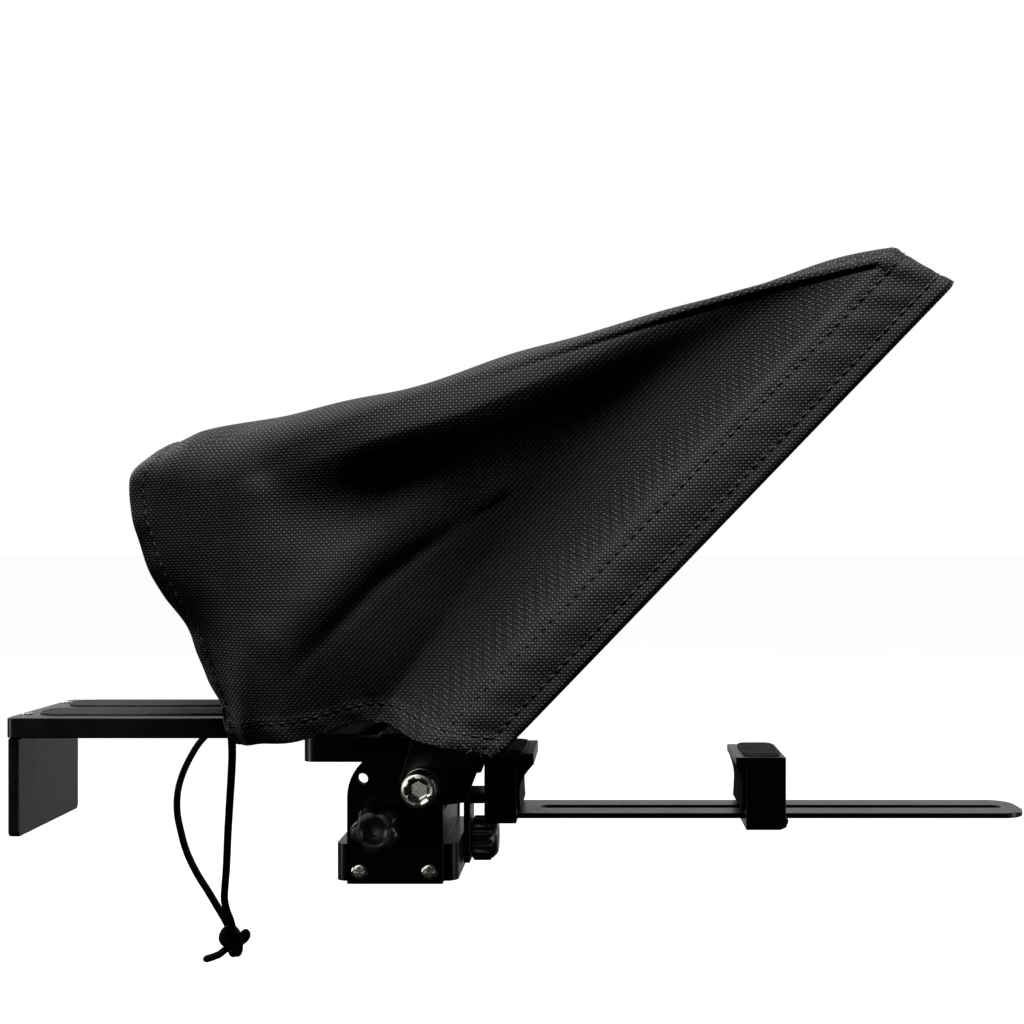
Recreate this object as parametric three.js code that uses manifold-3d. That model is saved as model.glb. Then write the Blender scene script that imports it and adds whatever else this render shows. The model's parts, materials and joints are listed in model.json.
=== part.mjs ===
// A phone teleprompter: a beam-splitter glass in a tilted frame with a cloth hood, a clamp for the
// phone that lies in front of it, and a camera plate with a long rail behind, all on one small bracket.
// Millimetres, +Z up, +X towards the speaker. The origin is on the tripod screw's axis, in the
// bottom face of the base block. The near side is -Y.

import * as THREE from 'three';
import { mergeVertices } from 'three/addons/utils/BufferGeometryUtils.js';
import Module from 'manifold-3d';

const wasm = await Module();
wasm.setup();

// ---------------------------------------------------------------- driving dimensions

const GAP = 0.3; // between pieces that face each other

const BASE = { length: 45, width: 49.4, flange: 13.7, height: 25.5, corner: 4 };
const CHEEK = { thick: 4, inner: 25, length: 35, height: 49.3, sightHole: [-11.9, 38.4], sightRadius: 2 };
const CORE = { half: 17, riserFrom: -8.5, riserTo: 0.5, riserTop: 43.5 };
const TRIPOD_HOLE = { radius: 3.2, depth: 11 };

const PIVOT = { x: 10.8, z: 37.2, screw: 4, clearance: 0.25, head: 6.5, headLength: 8, socket: 3.4 };
const LOCK = {
  x: -5.7, z: 21.6, radius: 8.9, lobes: 5, lobeDepth: 1.6, thick: 10, neck: 5, stem: 3, recess: 2,
};
const CHEEK_SCREW = { radius: 3, z: 4.4, xs: [-13.1, 12.5] };

const PLATE = { from: -35, to: 9, half: 24.7, bottom: 43.8, top: 52.9, corner: 5 };
const PLATE_SLOT = { x: -11.5, width: 6.6, length: 36 };
const PAD = { thick: 1, half: 21.5, corner: 3, fromRear: 3.5, fromSlot: 4, fromFront: 3 };

const RAIL = { from: -142.5, to: -33.5, half: 29, bottom: 53.1, top: 60.6, corner: 3 };
const STRIP = { from: -135.5, to: -38, inner: 4.5, outer: 22, thick: 0.9 };
const STRAP = { from: -80, to: -26, sideFrom: 2, sideTo: 20, bottom: 49.4, top: 52.8 };
const END_PLATE = { from: -142.3, to: -138.2, half: 27, bottom: 16.5, corner: 2 };

const TILT_DEGREES = 46.6; // glass above the horizontal
const FRONT_EDGE = { x: 45, z: 56.1 }; // lower end of the hood's front edge
const FRAME = { length: 202, half: 81.7, bar: 6, ends: 8, front: 3, back: 15 };
const GLASS = { from: 6, to: 198, half: 77.7, front: 15.3, thick: 2 };
const ARM = { inner: 29.3, thick: 3.7, boss: 8.5 };

const HOOD = {
  cloth: 1.6,
  halfFront: 85,
  halfRear: 50,
  bandDepth: 21,
  frontTop: 210,
  bandTop: 204.5,
  bandBottom: -16,
  corner: 6,
};

const HEM = { level: 57, rise: 9, reach: 20, centre: -2, rearX: -53.5 };

const PHONE_ARM = { from: 22.8, to: 30.7, half: 8, thick: 2.5, top: 29.2, shelf: 4, bottom: 2.5 };
const CLAMP_KNOB = { z: 10.5, radius: 8.6, from: 25.6, length: 10, ribs: 18, stem: 2.1 };
const BAR = { from: 33, to: 236.7, half: 13, bottom: 20.6, top: 22.6, corner: 9 };
const BAR_SLOT = { from: 52, to: 230, half: 2.75 };
const JAW = { half: 17, notch: 0.3 };
const FIXED_JAW = { back: 31.5, face: 43.5, lip: 50, bottom: 19.5, lipUnder: 41.4, top: 45.7, flange: 0 };
const SLIDING_JAW = {
  back: 144.5, face: 129.5, lip: 125.7, bottom: 17, lipUnder: 41.4, top: 44.2, flange: 0.9,
};
const JAW_PAD = { thick: 1.1, fromLip: 3.4, fromBack: 1.3, half: 14.5, corner: 4 };
const LINER = { bottom: 24, waist: 33, thin: 0.8, half: 16.2 };

const CORD = { diameter: 2.8, sides: 8 };
const KNOT = { centre: [-67, 0, -30], radii: [5.4, 5, 6] };
const KNOT_TAIL = [[-71.3, -1.4, -33.6], [-73.2, -1.9, -34.6], [-75.2, -2.3, -35.3], [-77, -2.6, -35.7]];
const NEAR_STRAND = [
  [-58.6, -45.5, 66], [-57.4, -45.5, 61], [-56.3, -45, 55.5], [-56.2, -43.2, 49], [-57.1, -39.8, 41],
  [-58.4, -35, 33.5], [-60.4, -29.5, 25.6], [-62.4, -24, 17.5], [-64, -19.5, 9.5], [-65.8, -14.5, 1.1],
  [-67.6, -10, -6], [-68.6, -7.2, -11.4], [-68.4, -4.9, -16.4], [-67.6, -3.2, -20.2], [-67, -2.4, -23.4],
];
const FAR_STRAND = [
  [-58.6, 45.5, 66], [-63, 46.2, 62], [-70.3, 46.4, 57.6], [-79.2, 45.2, 52.6], [-86.8, 42.5, 47.5],
  [-92.3, 40, 41.9], [-95.8, 37.5, 35.7], [-98.4, 35, 28.8], [-99.2, 31.5, 22], [-98.1, 27.5, 14.8],
  [-95.2, 23.3, 7.6], [-91.4, 19, 0.3], [-86, 14.6, -7], [-80.1, 10.2, -13.1], [-75.4, 6.6, -18.2],
  [-71.8, 4.2, -22.4], [-69.9, 3.2, -25.2],
];

// ---------------------------------------------------------------- finishes

const finish = (color, roughness, metalness) => () =>
  new THREE.MeshStandardMaterial({ color, roughness, metalness });
const anodised = finish(0x0b0d0c, 0.45, 0.6);
const blackPlastic = finish(0x0c0d0d, 0.5, 0);
const rubber = finish(0x1e201f, 0.85, 0);
const steel = finish(0xc8c4bc, 0.28, 1);
const cloth = finish(0x17181a, 0.95, 0);
const cordBraid = finish(0x0c0d0d, 0.9, 0);
const coatedGlass = () => {
  const material = finish(0x9aa4a6, 0.05, 0)();
  material.transparent = true;
  material.opacity = 0.35;
  return material;
};

// ---------------------------------------------------------------- geometry helpers

const ALONG_X = new THREE.Matrix4().makeBasis(
  new THREE.Vector3(0, 1, 0), new THREE.Vector3(0, 0, 1), new THREE.Vector3(1, 0, 0));
const ALONG_Y = new THREE.Matrix4().makeBasis(
  new THREE.Vector3(1, 0, 0), new THREE.Vector3(0, 0, 1), new THREE.Vector3(0, -1, 0));

function toSolid(geometry) {
  const bare = geometry.clone();
  bare.deleteAttribute('normal');
  bare.deleteAttribute('uv');
  const merged = mergeVertices(bare, 1e-4);
  return new wasm.Manifold(new wasm.Mesh({
    numProp: 3,
    vertProperties: new Float32Array(merged.attributes.position.array),
    triVerts: new Uint32Array(merged.index.array),
  }));
}

function toGeometry(solid) {
  const mesh = solid.getMesh();
  const geometry = new THREE.BufferGeometry();
  geometry.setAttribute('position', new THREE.BufferAttribute(mesh.vertProperties, 3));
  geometry.setIndex(new THREE.BufferAttribute(mesh.triVerts, 1));
  geometry.computeVertexNormals();
  return geometry;
}

const cut = (body, ...tools) =>
  toGeometry(tools.reduce((solid, tool) => solid.subtract(toSolid(tool)), toSolid(body)));
const join = (body, ...others) =>
  toGeometry(others.reduce((solid, other) => solid.add(toSolid(other)), toSolid(body)));

function roundedShape(x0, x1, y0, y1, radius) {
  const r = radius;
  const shape = new THREE.Shape();
  shape.moveTo(x0 + r, y0);
  shape.lineTo(x1 - r, y0);
  shape.absarc(x1 - r, y0 + r, r, -Math.PI / 2, 0);
  shape.lineTo(x1, y1 - r);
  shape.absarc(x1 - r, y1 - r, r, 0, Math.PI / 2);
  shape.lineTo(x0 + r, y1);
  shape.absarc(x0 + r, y1 - r, r, Math.PI / 2, Math.PI);
  shape.lineTo(x0, y0 + r);
  shape.absarc(x0 + r, y0 + r, r, Math.PI, Math.PI * 1.5);
  return shape;
}

const outline = (points) => new THREE.Shape(points.map(([x, y]) => new THREE.Vector2(x, y)));

function extrude(shape, depth, curveSegments = 5) {
  return new THREE.ExtrudeGeometry(shape, { depth, bevelEnabled: false, curveSegments });
}

// A plate whose outline is in X and Y.
function plateUp(shape, z0, z1, curveSegments) {
  return extrude(shape, z1 - z0, curveSegments).translate(0, 0, z0);
}

// A plate whose outline is in X and Z.
function plateAcross(shape, y0, y1, curveSegments) {
  return extrude(shape, y1 - y0, curveSegments).applyMatrix4(ALONG_Y).translate(0, y1, 0);
}

// A plate whose outline is in Y and Z.
function plateForward(shape, x0, x1, curveSegments) {
  return extrude(shape, x1 - x0, curveSegments).applyMatrix4(ALONG_X).translate(x0, 0, 0);
}

function box(x0, x1, y0, y1, z0, z1) {
  return new THREE.BoxGeometry(x1 - x0, y1 - y0, z1 - z0)
    .translate((x0 + x1) / 2, (y0 + y1) / 2, (z0 + z1) / 2);
}

// A rod with its axis along Y.
function rodAcross(x, z, radius, y0, y1, sides = 20) {
  return new THREE.CylinderGeometry(radius, radius, y1 - y0, sides).translate(x, (y0 + y1) / 2, z);
}

// A rod with its axis along X.
function rodForward(y, z, radius, x0, x1, sides = 20) {
  return new THREE.CylinderGeometry(radius, radius, x1 - x0, sides)
    .rotateZ(Math.PI / 2).translate((x0 + x1) / 2, y, z);
}

// A rod with its axis along Z.
function rodUp(x, y, radius, z0, z1, sides = 20) {
  return new THREE.CylinderGeometry(radius, radius, z1 - z0, sides)
    .rotateX(Math.PI / 2).translate(x, y, (z0 + z1) / 2);
}

const teleprompter = new THREE.Group();

function place(name, geometry, material, parent = teleprompter) {
  const mesh = new THREE.Mesh(geometry, material());
  mesh.name = name;
  parent.add(mesh);
  return mesh;
}

const SIDES = [['near', -1], ['far', 1]];

// Lowest and highest Y of a stretch between two distances from the centre, on one side.
const span = (side, inner, outer) => (side < 0 ? [-outer, -inner] : [inner, outer]);

// ---------------------------------------------------------------- bracket

function baseBlock() {
  const flange = plateUp(
    roundedShape(-BASE.length / 2, BASE.length / 2, -BASE.width / 2, BASE.width / 2, BASE.corner),
    0, BASE.flange);
  const core = plateAcross(outline([
    [-CORE.half, BASE.flange - 1], [CORE.half, BASE.flange - 1], [CORE.half, BASE.height],
    [CORE.riserTo, BASE.height], [CORE.riserTo, CORE.riserTop], [CORE.riserFrom, CORE.riserTop],
    [CORE.riserFrom, BASE.height], [-CORE.half, BASE.height],
  ]), -BASE.width / 2, BASE.width / 2);
  const tripodHole = rodUp(0, 0, TRIPOD_HOLE.radius, -1, TRIPOD_HOLE.depth);
  const knobHole = rodForward(0, CLAMP_KNOB.z, CLAMP_KNOB.stem + GAP, BASE.length / 2 - 8,
    BASE.length / 2 + 1, 12);
  const lockHole = rodAcross(LOCK.x, LOCK.z, LOCK.stem + GAP, -BASE.width / 2 - 1,
    -BASE.width / 2 + 10, 16);
  return toGeometry(toSolid(join(flange, core))
    .subtract(toSolid(tripodHole)).subtract(toSolid(knobHole)).subtract(toSolid(lockHole)));
}
place('base_block', baseBlock(), anodised);

function cheek(side) {
  const radius = CHEEK.length / 2;
  const shape = new THREE.Shape();
  shape.moveTo(-radius, 0);
  shape.lineTo(radius, 0);
  shape.lineTo(radius, CHEEK.height - radius);
  shape.absarc(0, CHEEK.height - radius, radius, 0, Math.PI);
  const holes = [
    [PIVOT.x, PIVOT.z, PIVOT.screw + PIVOT.clearance],
    [...CHEEK.sightHole, CHEEK.sightRadius],
  ];
  if (side < 0) holes.push([LOCK.x, LOCK.z, LOCK.stem + GAP]);
  for (const [x, z, r] of holes) {
    const hole = new THREE.Path();
    hole.absarc(x, z, r, 0, Math.PI * 2, true);
    shape.holes.push(hole);
  }
  const [y0, y1] = span(side, CHEEK.inner, CHEEK.inner + CHEEK.thick);
  const seats = CHEEK_SCREW.xs.map((x) => (side < 0
    ? rodAcross(x, CHEEK_SCREW.z, CHEEK_SCREW.radius + 0.2, y0 - 1, y0 + 1.5)
    : rodAcross(x, CHEEK_SCREW.z, CHEEK_SCREW.radius + 0.2, y1 - 1.5, y1 + 1)));
  return cut(plateAcross(shape, y0, y1, 12), ...seats);
}

// Countersunk cross-head screws that hold the cheeks to the base.
function cheekScrew(x, side) {
  const face = side * (CHEEK.inner + CHEEK.thick);
  const back = face - side * (1.5 - 0.2);
  const head = rodAcross(x, CHEEK_SCREW.z, CHEEK_SCREW.radius, Math.min(face, back), Math.max(face, back));
  const arm = 1.9;
  const slot = 0.45;
  const depth = side * 0.7;
  const [low, high] = [Math.min(face - depth, face + side), Math.max(face - depth, face + side)];
  return cut(head,
    box(x - arm, x + arm, low, high, CHEEK_SCREW.z - slot, CHEEK_SCREW.z + slot),
    box(x - slot, x + slot, low, high, CHEEK_SCREW.z - arm, CHEEK_SCREW.z + arm));
}

for (const [name, side] of SIDES) {
  place(`${name}_cheek`, cheek(side), anodised);
  CHEEK_SCREW.xs.forEach((x, i) => {
    place(`${name}_cheek_screw_${i ? 'front' : 'rear'}`, cheekScrew(x, side), steel);
  });
}

// Spacer tube between the cheeks, round the tilt screw.
place('pivot_sleeve', cut(
  rodAcross(PIVOT.x, PIVOT.z, 6, -CHEEK.inner + GAP, CHEEK.inner - GAP, 24),
  rodAcross(PIVOT.x, PIVOT.z, PIVOT.screw + PIVOT.clearance, -CHEEK.inner, CHEEK.inner, 24)), anodised);

// ---------------------------------------------------------------- tilt screw and lock knob

const ARM_OUTER = ARM.inner + ARM.thick;
const WASHER = 4.6; // thick spacer under the screw head

function tiltScrew() {
  const headFrom = -ARM_OUTER - GAP - WASHER - GAP - PIVOT.headLength;
  const headTo = headFrom + PIVOT.headLength;
  const hexagon = new THREE.CylinderGeometry(PIVOT.socket, PIVOT.socket, 5, 6)
    .translate(PIVOT.x, headFrom + 1.5, PIVOT.z);
  return toGeometry(toSolid(rodAcross(PIVOT.x, PIVOT.z, PIVOT.head, headFrom, headTo, 28))
    .add(toSolid(rodAcross(PIVOT.x, PIVOT.z, PIVOT.screw, headTo - 1, ARM_OUTER + 9, 20)))
    .subtract(toSolid(hexagon)));
}
place('tilt_screw', tiltScrew(), steel);

function ringAcross(y0, y1, outer, inner, sides = 24) {
  return cut(rodAcross(PIVOT.x, PIVOT.z, outer, y0, y1, sides),
    rodAcross(PIVOT.x, PIVOT.z, inner, y0 - 1, y1 + 1, 20));
}
place('tilt_washer', ringAcross(-ARM_OUTER - GAP - WASHER, -ARM_OUTER - GAP, PIVOT.head,
  PIVOT.screw + PIVOT.clearance), steel);
place('tilt_nut', ringAcross(ARM_OUTER + GAP, ARM_OUTER + GAP + 6.5, 7.4,
  PIVOT.screw + PIVOT.clearance, 6), steel);

function lobedOutline(radius, lobes, depth, steps = 8) {
  const points = [];
  for (let i = 0; i < lobes * steps; i += 1) {
    const turn = (i / (lobes * steps)) * Math.PI * 2;
    const r = radius - depth * (0.5 + 0.5 * Math.cos(turn * lobes)) ** 2;
    points.push([r * Math.cos(turn), r * Math.sin(turn)]);
  }
  return outline(points);
}

function lockKnob() {
  const back = -CHEEK.inner - CHEEK.thick - 1.2;
  const face = back - LOCK.thick;
  const head = plateAcross(lobedOutline(LOCK.radius, LOCK.lobes, LOCK.lobeDepth), face, back)
    .translate(LOCK.x, 0, LOCK.z);
  return toGeometry(toSolid(head)
    .add(toSolid(rodAcross(LOCK.x, LOCK.z, LOCK.neck, back - 1, back + 1, 20)))
    .add(toSolid(rodAcross(LOCK.x, LOCK.z, LOCK.stem, back, -BASE.width / 2 + 9, 16)))
    .subtract(toSolid(rodAcross(LOCK.x, LOCK.z, LOCK.recess, face - 1, face + 3, 16))));
}
place('lock_knob', lockKnob(), blackPlastic);

// ---------------------------------------------------------------- camera plate

function cameraPlate() {
  const body = plateUp(
    roundedShape(PLATE.from, PLATE.to, -PLATE.half, PLATE.half, PLATE.corner), PLATE.bottom, PLATE.top);
  const slot = plateUp(roundedShape(
    PLATE_SLOT.x - PLATE_SLOT.width / 2, PLATE_SLOT.x + PLATE_SLOT.width / 2,
    -PLATE_SLOT.length / 2, PLATE_SLOT.length / 2, PLATE_SLOT.width / 2 - 0.01),
  PLATE.bottom - 1, PLATE.top + 1);
  const strapNotch = box(PLATE.from - 1, STRAP.to + GAP, STRAP.sideFrom - GAP, STRAP.sideTo + GAP,
    STRAP.bottom - GAP, PLATE.top + 1);
  return cut(body, slot, strapNotch);
}
place('camera_plate', cameraPlate(), anodised);
const platePad = (x0, x1) => plateUp(
  roundedShape(x0, x1, -PAD.half, PAD.half, PAD.corner), PLATE.top, PLATE.top + PAD.thick);
place('rear_plate_pad', platePad(PLATE.from + PAD.fromRear, PLATE_SLOT.x - PAD.fromSlot), rubber);
place('front_plate_pad', platePad(PLATE_SLOT.x + PAD.fromSlot, PLATE.to - PAD.fromFront), rubber);

// ---------------------------------------------------------------- camera rail

place('camera_rail', plateUp(
  roundedShape(RAIL.from, RAIL.to, -RAIL.half, RAIL.half, RAIL.corner), RAIL.bottom, RAIL.top), anodised);
for (const [name, side] of SIDES) {
  const [y0, y1] = span(side, STRIP.inner, STRIP.outer);
  const radius = (STRIP.outer - STRIP.inner) / 2 - 0.01;
  place(`${name}_rail_strip`, plateUp(
    roundedShape(STRIP.from, STRIP.to, y0, y1, radius), RAIL.top, RAIL.top + STRIP.thick, 8), rubber);
}
place('joining_strap', box(STRAP.from, STRAP.to, STRAP.sideFrom, STRAP.sideTo, STRAP.bottom, STRAP.top),
  anodised);
for (const [name, x] of [['rear', -72], ['front', -50]]) {
  place(`strap_screw_${name}`, rodUp(x, (STRAP.sideFrom + STRAP.sideTo) / 2, 2.8,
    STRAP.bottom - 1, STRAP.bottom, 16), steel);
}
place('end_plate', plateForward(outline([
  [-END_PLATE.half, RAIL.bottom - GAP], [-END_PLATE.half, END_PLATE.bottom + END_PLATE.corner],
  ...[1, 2, 3, 4, 5].map((i) => {
    const turn = Math.PI + (i / 5) * (Math.PI / 2);
    return [-END_PLATE.half + END_PLATE.corner * (1 + Math.cos(turn)),
      END_PLATE.bottom + END_PLATE.corner * (1 + Math.sin(turn))];
  }),
  ...[0, 1, 2, 3, 4, 5].map((i) => {
    const turn = Math.PI * 1.5 + (i / 5) * (Math.PI / 2);
    return [END_PLATE.half - END_PLATE.corner * (1 - Math.cos(turn)),
      END_PLATE.bottom + END_PLATE.corner * (1 + Math.sin(turn))];
  }),
  [END_PLATE.half, RAIL.bottom - GAP],
]), END_PLATE.from, END_PLATE.to), anodised);
for (const [name, side] of SIDES) {
  place(`end_plate_screw_${name}`, rodUp(-139, side * 18, 1.9, RAIL.top, RAIL.top + 0.6, 16), steel);
}

// ---------------------------------------------------------------- glass frame, turned to the glass's tilt

const tilt = THREE.MathUtils.degToRad(TILT_DEGREES);
const tilted = new THREE.Group();
tilted.position.set(FRONT_EDGE.x, 0, FRONT_EDGE.z);
tilted.rotation.y = -tilt;
teleprompter.add(tilted);

const frameEnds = { from: 2, to: FRAME.length - 1 };
place('frame_bottom_bar', box(frameEnds.from, frameEnds.from + FRAME.ends, -FRAME.half, FRAME.half,
  FRAME.front, FRAME.back), blackPlastic, tilted);
place('frame_top_bar', box(frameEnds.to - FRAME.ends, frameEnds.to, -FRAME.half, FRAME.half,
  FRAME.front, FRAME.back), blackPlastic, tilted);
for (const [name, side] of SIDES) {
  const [y0, y1] = span(side, FRAME.half - FRAME.bar, FRAME.half);
  place(`frame_${name}_bar`, box(frameEnds.from + FRAME.ends + GAP, frameEnds.to - FRAME.ends - GAP,
    y0, y1, FRAME.front, FRAME.back), blackPlastic, tilted);
}
place('beam_splitter_glass', box(GLASS.from, GLASS.to, -GLASS.half, GLASS.half, GLASS.front,
  GLASS.front + GLASS.thick), coatedGlass, tilted);

function glassClip(along, side) {
  const back = GLASS.front + GLASS.thick + GAP;
  const [y0, y1] = span(side, GLASS.half - 5, FRAME.half - 0.4);
  const [foot0, foot1] = span(side, GLASS.half + GAP, FRAME.half - 0.4);
  return join(box(along, along + 12, y0, y1, back, back + 1.4),
    box(along, along + 12, foot0, foot1, FRAME.back + GAP, back + 0.5));
}
for (const [name, side] of SIDES) {
  place(`glass_clip_lower_${name}`, glassClip(16, side), blackPlastic, tilted);
  place(`glass_clip_upper_${name}`, glassClip(176, side), blackPlastic, tilted);
}

// A point of the tilted group, in X and Z of the object.
function fromGlass(along, behind) {
  return [
    FRONT_EDGE.x + along * Math.cos(tilt) - behind * Math.sin(tilt),
    FRONT_EDGE.z + along * Math.sin(tilt) + behind * Math.cos(tilt),
  ];
}

// Side arms that carry the frame and turn on the tilt screw, outside the cheeks.
function tiltArm(side) {
  const shape = new THREE.Shape();
  const footRear = fromGlass(frameEnds.from - GAP, FRAME.back);
  const footFront = fromGlass(frameEnds.from - GAP, FRAME.front);
  shape.moveTo(PIVOT.x - ARM.boss * 0.55, 47);
  shape.absarc(PIVOT.x, PIVOT.z, ARM.boss, Math.PI * 0.86, Math.PI * 1.55);
  shape.lineTo(26, 30.5);
  shape.lineTo(30.5, 42);
  shape.lineTo(...footFront);
  shape.lineTo(...footRear);
  shape.lineTo(PIVOT.x - ARM.boss * 0.35, 57);
  const hole = new THREE.Path();
  hole.absarc(PIVOT.x, PIVOT.z, PIVOT.screw + PIVOT.clearance, 0, Math.PI * 2, true);
  shape.holes.push(hole);
  const [y0, y1] = span(side, ARM.inner, ARM_OUTER);
  return plateAcross(shape, y0, y1, 12);
}
for (const [name, side] of SIDES) place(`${name}_tilt_arm`, tiltArm(side), anodised);

// ---------------------------------------------------------------- hood

// Lower hem of a side panel: from the rear corner, over an arch that clears the bracket, to the front.
function hemHeight(x) {
  const { level, rise, reach, centre } = HEM;
  const share = Math.min(Math.abs(x - centre) / reach, 1);
  return level + rise * Math.cos(share * (Math.PI / 2)) ** 2;
}

// Side panel edges at the share v of the way from the rear opening to the front band, near side.
const [bandTopX, bandTopZ] = fromGlass(HOOD.bandTop, HOOD.bandDepth);
const [bandLowX] = fromGlass(HOOD.bandBottom, HOOD.bandDepth);
const [frontTopX, frontTopZ] = fromGlass(HOOD.frontTop, 0);
const topEdge = new THREE.CatmullRomCurve3([
  new THREE.Vector3(-90, HOOD.halfRear - 1, 148.5), new THREE.Vector3(-62, HOOD.halfRear + 3, 165),
  new THREE.Vector3(-18, HOOD.halfRear + 11, 173.5), new THREE.Vector3(44, HOOD.halfRear + 21, 187.5),
  new THREE.Vector3(108, HOOD.halfRear + 29, 205.5), new THREE.Vector3(bandTopX, HOOD.halfFront, bandTopZ),
]);
function hoodColumn(v) {
  const top = topEdge.getPoint(v);
  const lowX = HEM.rearX + (bandLowX - HEM.rearX) * v;
  return {
    top: [top.x, top.z],
    low: [lowX, hemHeight(lowX)],
    half: top.y,
  };
}

const HOOD_STEPS = 12;
const columns = [];
for (let i = 0; i <= HOOD_STEPS; i += 1) columns.push(hoodColumn(i / HOOD_STEPS));
columns.push({ top: [frontTopX, frontTopZ], low: [FRONT_EDGE.x, FRONT_EDGE.z], half: HOOD.halfFront });

// Points of one cross section, from the near hem over the top to the far hem, moved in by inset.
function hoodSection({ top, low, half }, inset) {
  const corner = HOOD.corner - inset;
  const halfIn = half - inset;
  const points = [];
  const sideSteps = 8;
  const cornerSteps = 4;
  const topSteps = 6;
  const length = Math.hypot(top[0] - low[0], top[1] - low[1]);
  const at = (along) => [
    low[0] + ((top[0] - low[0]) * along) / length,
    low[1] + ((top[1] - low[1]) * along) / length,
  ];
  const add = (along, y) => {
    const [x, z] = at(along);
    points.push([x, y, z]);
  };
  const cornerStart = length - inset - corner;
  for (let i = 0; i < sideSteps; i += 1) add((cornerStart * i) / sideSteps, -halfIn);
  for (let i = 0; i < cornerSteps; i += 1) {
    const turn = (i / cornerSteps) * (Math.PI / 2);
    add(cornerStart + corner * Math.sin(turn), -halfIn + corner * (1 - Math.cos(turn)));
  }
  for (let i = 0; i <= topSteps; i += 1) {
    add(length - inset, (halfIn - corner) * ((2 * i) / topSteps - 1));
  }
  for (let i = cornerSteps - 1; i >= 0; i -= 1) {
    const turn = (i / cornerSteps) * (Math.PI / 2);
    add(cornerStart + corner * Math.sin(turn), halfIn - corner * (1 - Math.cos(turn)));
  }
  for (let i = sideSteps - 1; i >= 0; i -= 1) add((cornerStart * i) / sideSteps, halfIn);
  return points;
}

function hoodShell() {
  const outer = columns.map((column) => hoodSection(column, 0));
  const inner = columns.map((column) => hoodSection(column, HOOD.cloth));
  const across = outer[0].length;
  const positions = [...outer.flat(2), ...inner.flat(2)];
  const index = [];
  const quad = (a, b, c, d) => index.push(a, b, c, a, c, d);
  const out = (i, j) => i * across + j;
  const inn = (i, j) => (columns.length + i) * across + j;
  const last = columns.length - 1;
  for (let i = 0; i < last; i += 1) {
    for (let j = 0; j < across - 1; j += 1) {
      quad(out(i, j), out(i + 1, j), out(i + 1, j + 1), out(i, j + 1));
      quad(inn(i, j), inn(i, j + 1), inn(i + 1, j + 1), inn(i + 1, j));
    }
    quad(out(i, 0), inn(i, 0), inn(i + 1, 0), out(i + 1, 0));
    quad(out(i, across - 1), out(i + 1, across - 1), inn(i + 1, across - 1), inn(i, across - 1));
  }
  for (let j = 0; j < across - 1; j += 1) {
    quad(out(0, j), out(0, j + 1), inn(0, j + 1), inn(0, j));
    quad(out(last, j), inn(last, j), inn(last, j + 1), out(last, j + 1));
  }
  const geometry = new THREE.BufferGeometry();
  geometry.setAttribute('position', new THREE.Float32BufferAttribute(positions, 3));
  geometry.setIndex(index);
  geometry.computeVertexNormals();
  return geometry;
}
place('hood', hoodShell(), cloth);

// ---------------------------------------------------------------- drawstring

function cordTube(points) {
  const path = new THREE.CatmullRomCurve3(points.map((p) => new THREE.Vector3(...p)));
  const ring = [];
  for (let i = 0; i < CORD.sides; i += 1) {
    const turn = (i / CORD.sides) * Math.PI * 2;
    ring.push([(CORD.diameter / 2) * Math.cos(turn), (CORD.diameter / 2) * Math.sin(turn)]);
  }
  const steps = Math.max(3, Math.round(path.getLength() / (CORD.diameter * 2.2)));
  return new THREE.ExtrudeGeometry(outline(ring), { steps, extrudePath: path, bevelEnabled: false });
}
place('near_drawstring', cordTube(NEAR_STRAND), cordBraid);
place('far_drawstring', cordTube(FAR_STRAND), cordBraid);
place('drawstring_tail', cordTube(KNOT_TAIL), cordBraid);
place('drawstring_knot', new THREE.SphereGeometry(1, 14, 10).scale(...KNOT.radii)
  .translate(...KNOT.centre), cordBraid);

// ---------------------------------------------------------------- phone clamp

// Angle piece held against the base by the clamp knob; its shelf carries the phone clamp.
place('phone_arm', cut(
  plateAcross(outline([
    [PHONE_ARM.from, PHONE_ARM.bottom], [PHONE_ARM.from + PHONE_ARM.thick, PHONE_ARM.bottom],
    [PHONE_ARM.from + PHONE_ARM.thick, PHONE_ARM.top - PHONE_ARM.shelf],
    [PHONE_ARM.to, PHONE_ARM.top - PHONE_ARM.shelf], [PHONE_ARM.to, PHONE_ARM.top],
    [PHONE_ARM.from, PHONE_ARM.top],
  ]), -PHONE_ARM.half, PHONE_ARM.half),
  rodForward(0, CLAMP_KNOB.z, CLAMP_KNOB.stem + GAP, PHONE_ARM.from - 1, PHONE_ARM.to, 12)), anodised);

function clampKnob() {
  const points = [];
  const steps = CLAMP_KNOB.ribs * 2;
  for (let i = 0; i < steps; i += 1) {
    const turn = (i / steps) * Math.PI * 2;
    const r = CLAMP_KNOB.radius - (i % 2 ? 0.8 : 0);
    points.push([r * Math.cos(turn), r * Math.sin(turn)]);
  }
  const end = CLAMP_KNOB.from + CLAMP_KNOB.length;
  const ribbed = plateForward(outline(points), CLAMP_KNOB.from, end - 2).translate(0, 0, CLAMP_KNOB.z);
  const cap = new THREE.CylinderGeometry(CLAMP_KNOB.radius - 1, CLAMP_KNOB.radius - 3, 2.5, 24)
    .rotateZ(Math.PI / 2).translate(end - 1.25, 0, CLAMP_KNOB.z);
  const stem = rodForward(0, CLAMP_KNOB.z, CLAMP_KNOB.stem, BASE.length / 2 - 6, CLAMP_KNOB.from + 1, 12);
  return join(ribbed, cap, stem);
}
place('clamp_knob', clampKnob(), blackPlastic);

place('slotted_bar', cut(
  plateUp(roundedShape(BAR.from, BAR.to, -BAR.half, BAR.half, BAR.corner), BAR.bottom, BAR.top),
  plateUp(roundedShape(BAR_SLOT.from, BAR_SLOT.to, -BAR_SLOT.half, BAR_SLOT.half, BAR_SLOT.half - 0.01),
    BAR.bottom - 1, BAR.top + 1)), anodised);

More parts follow.
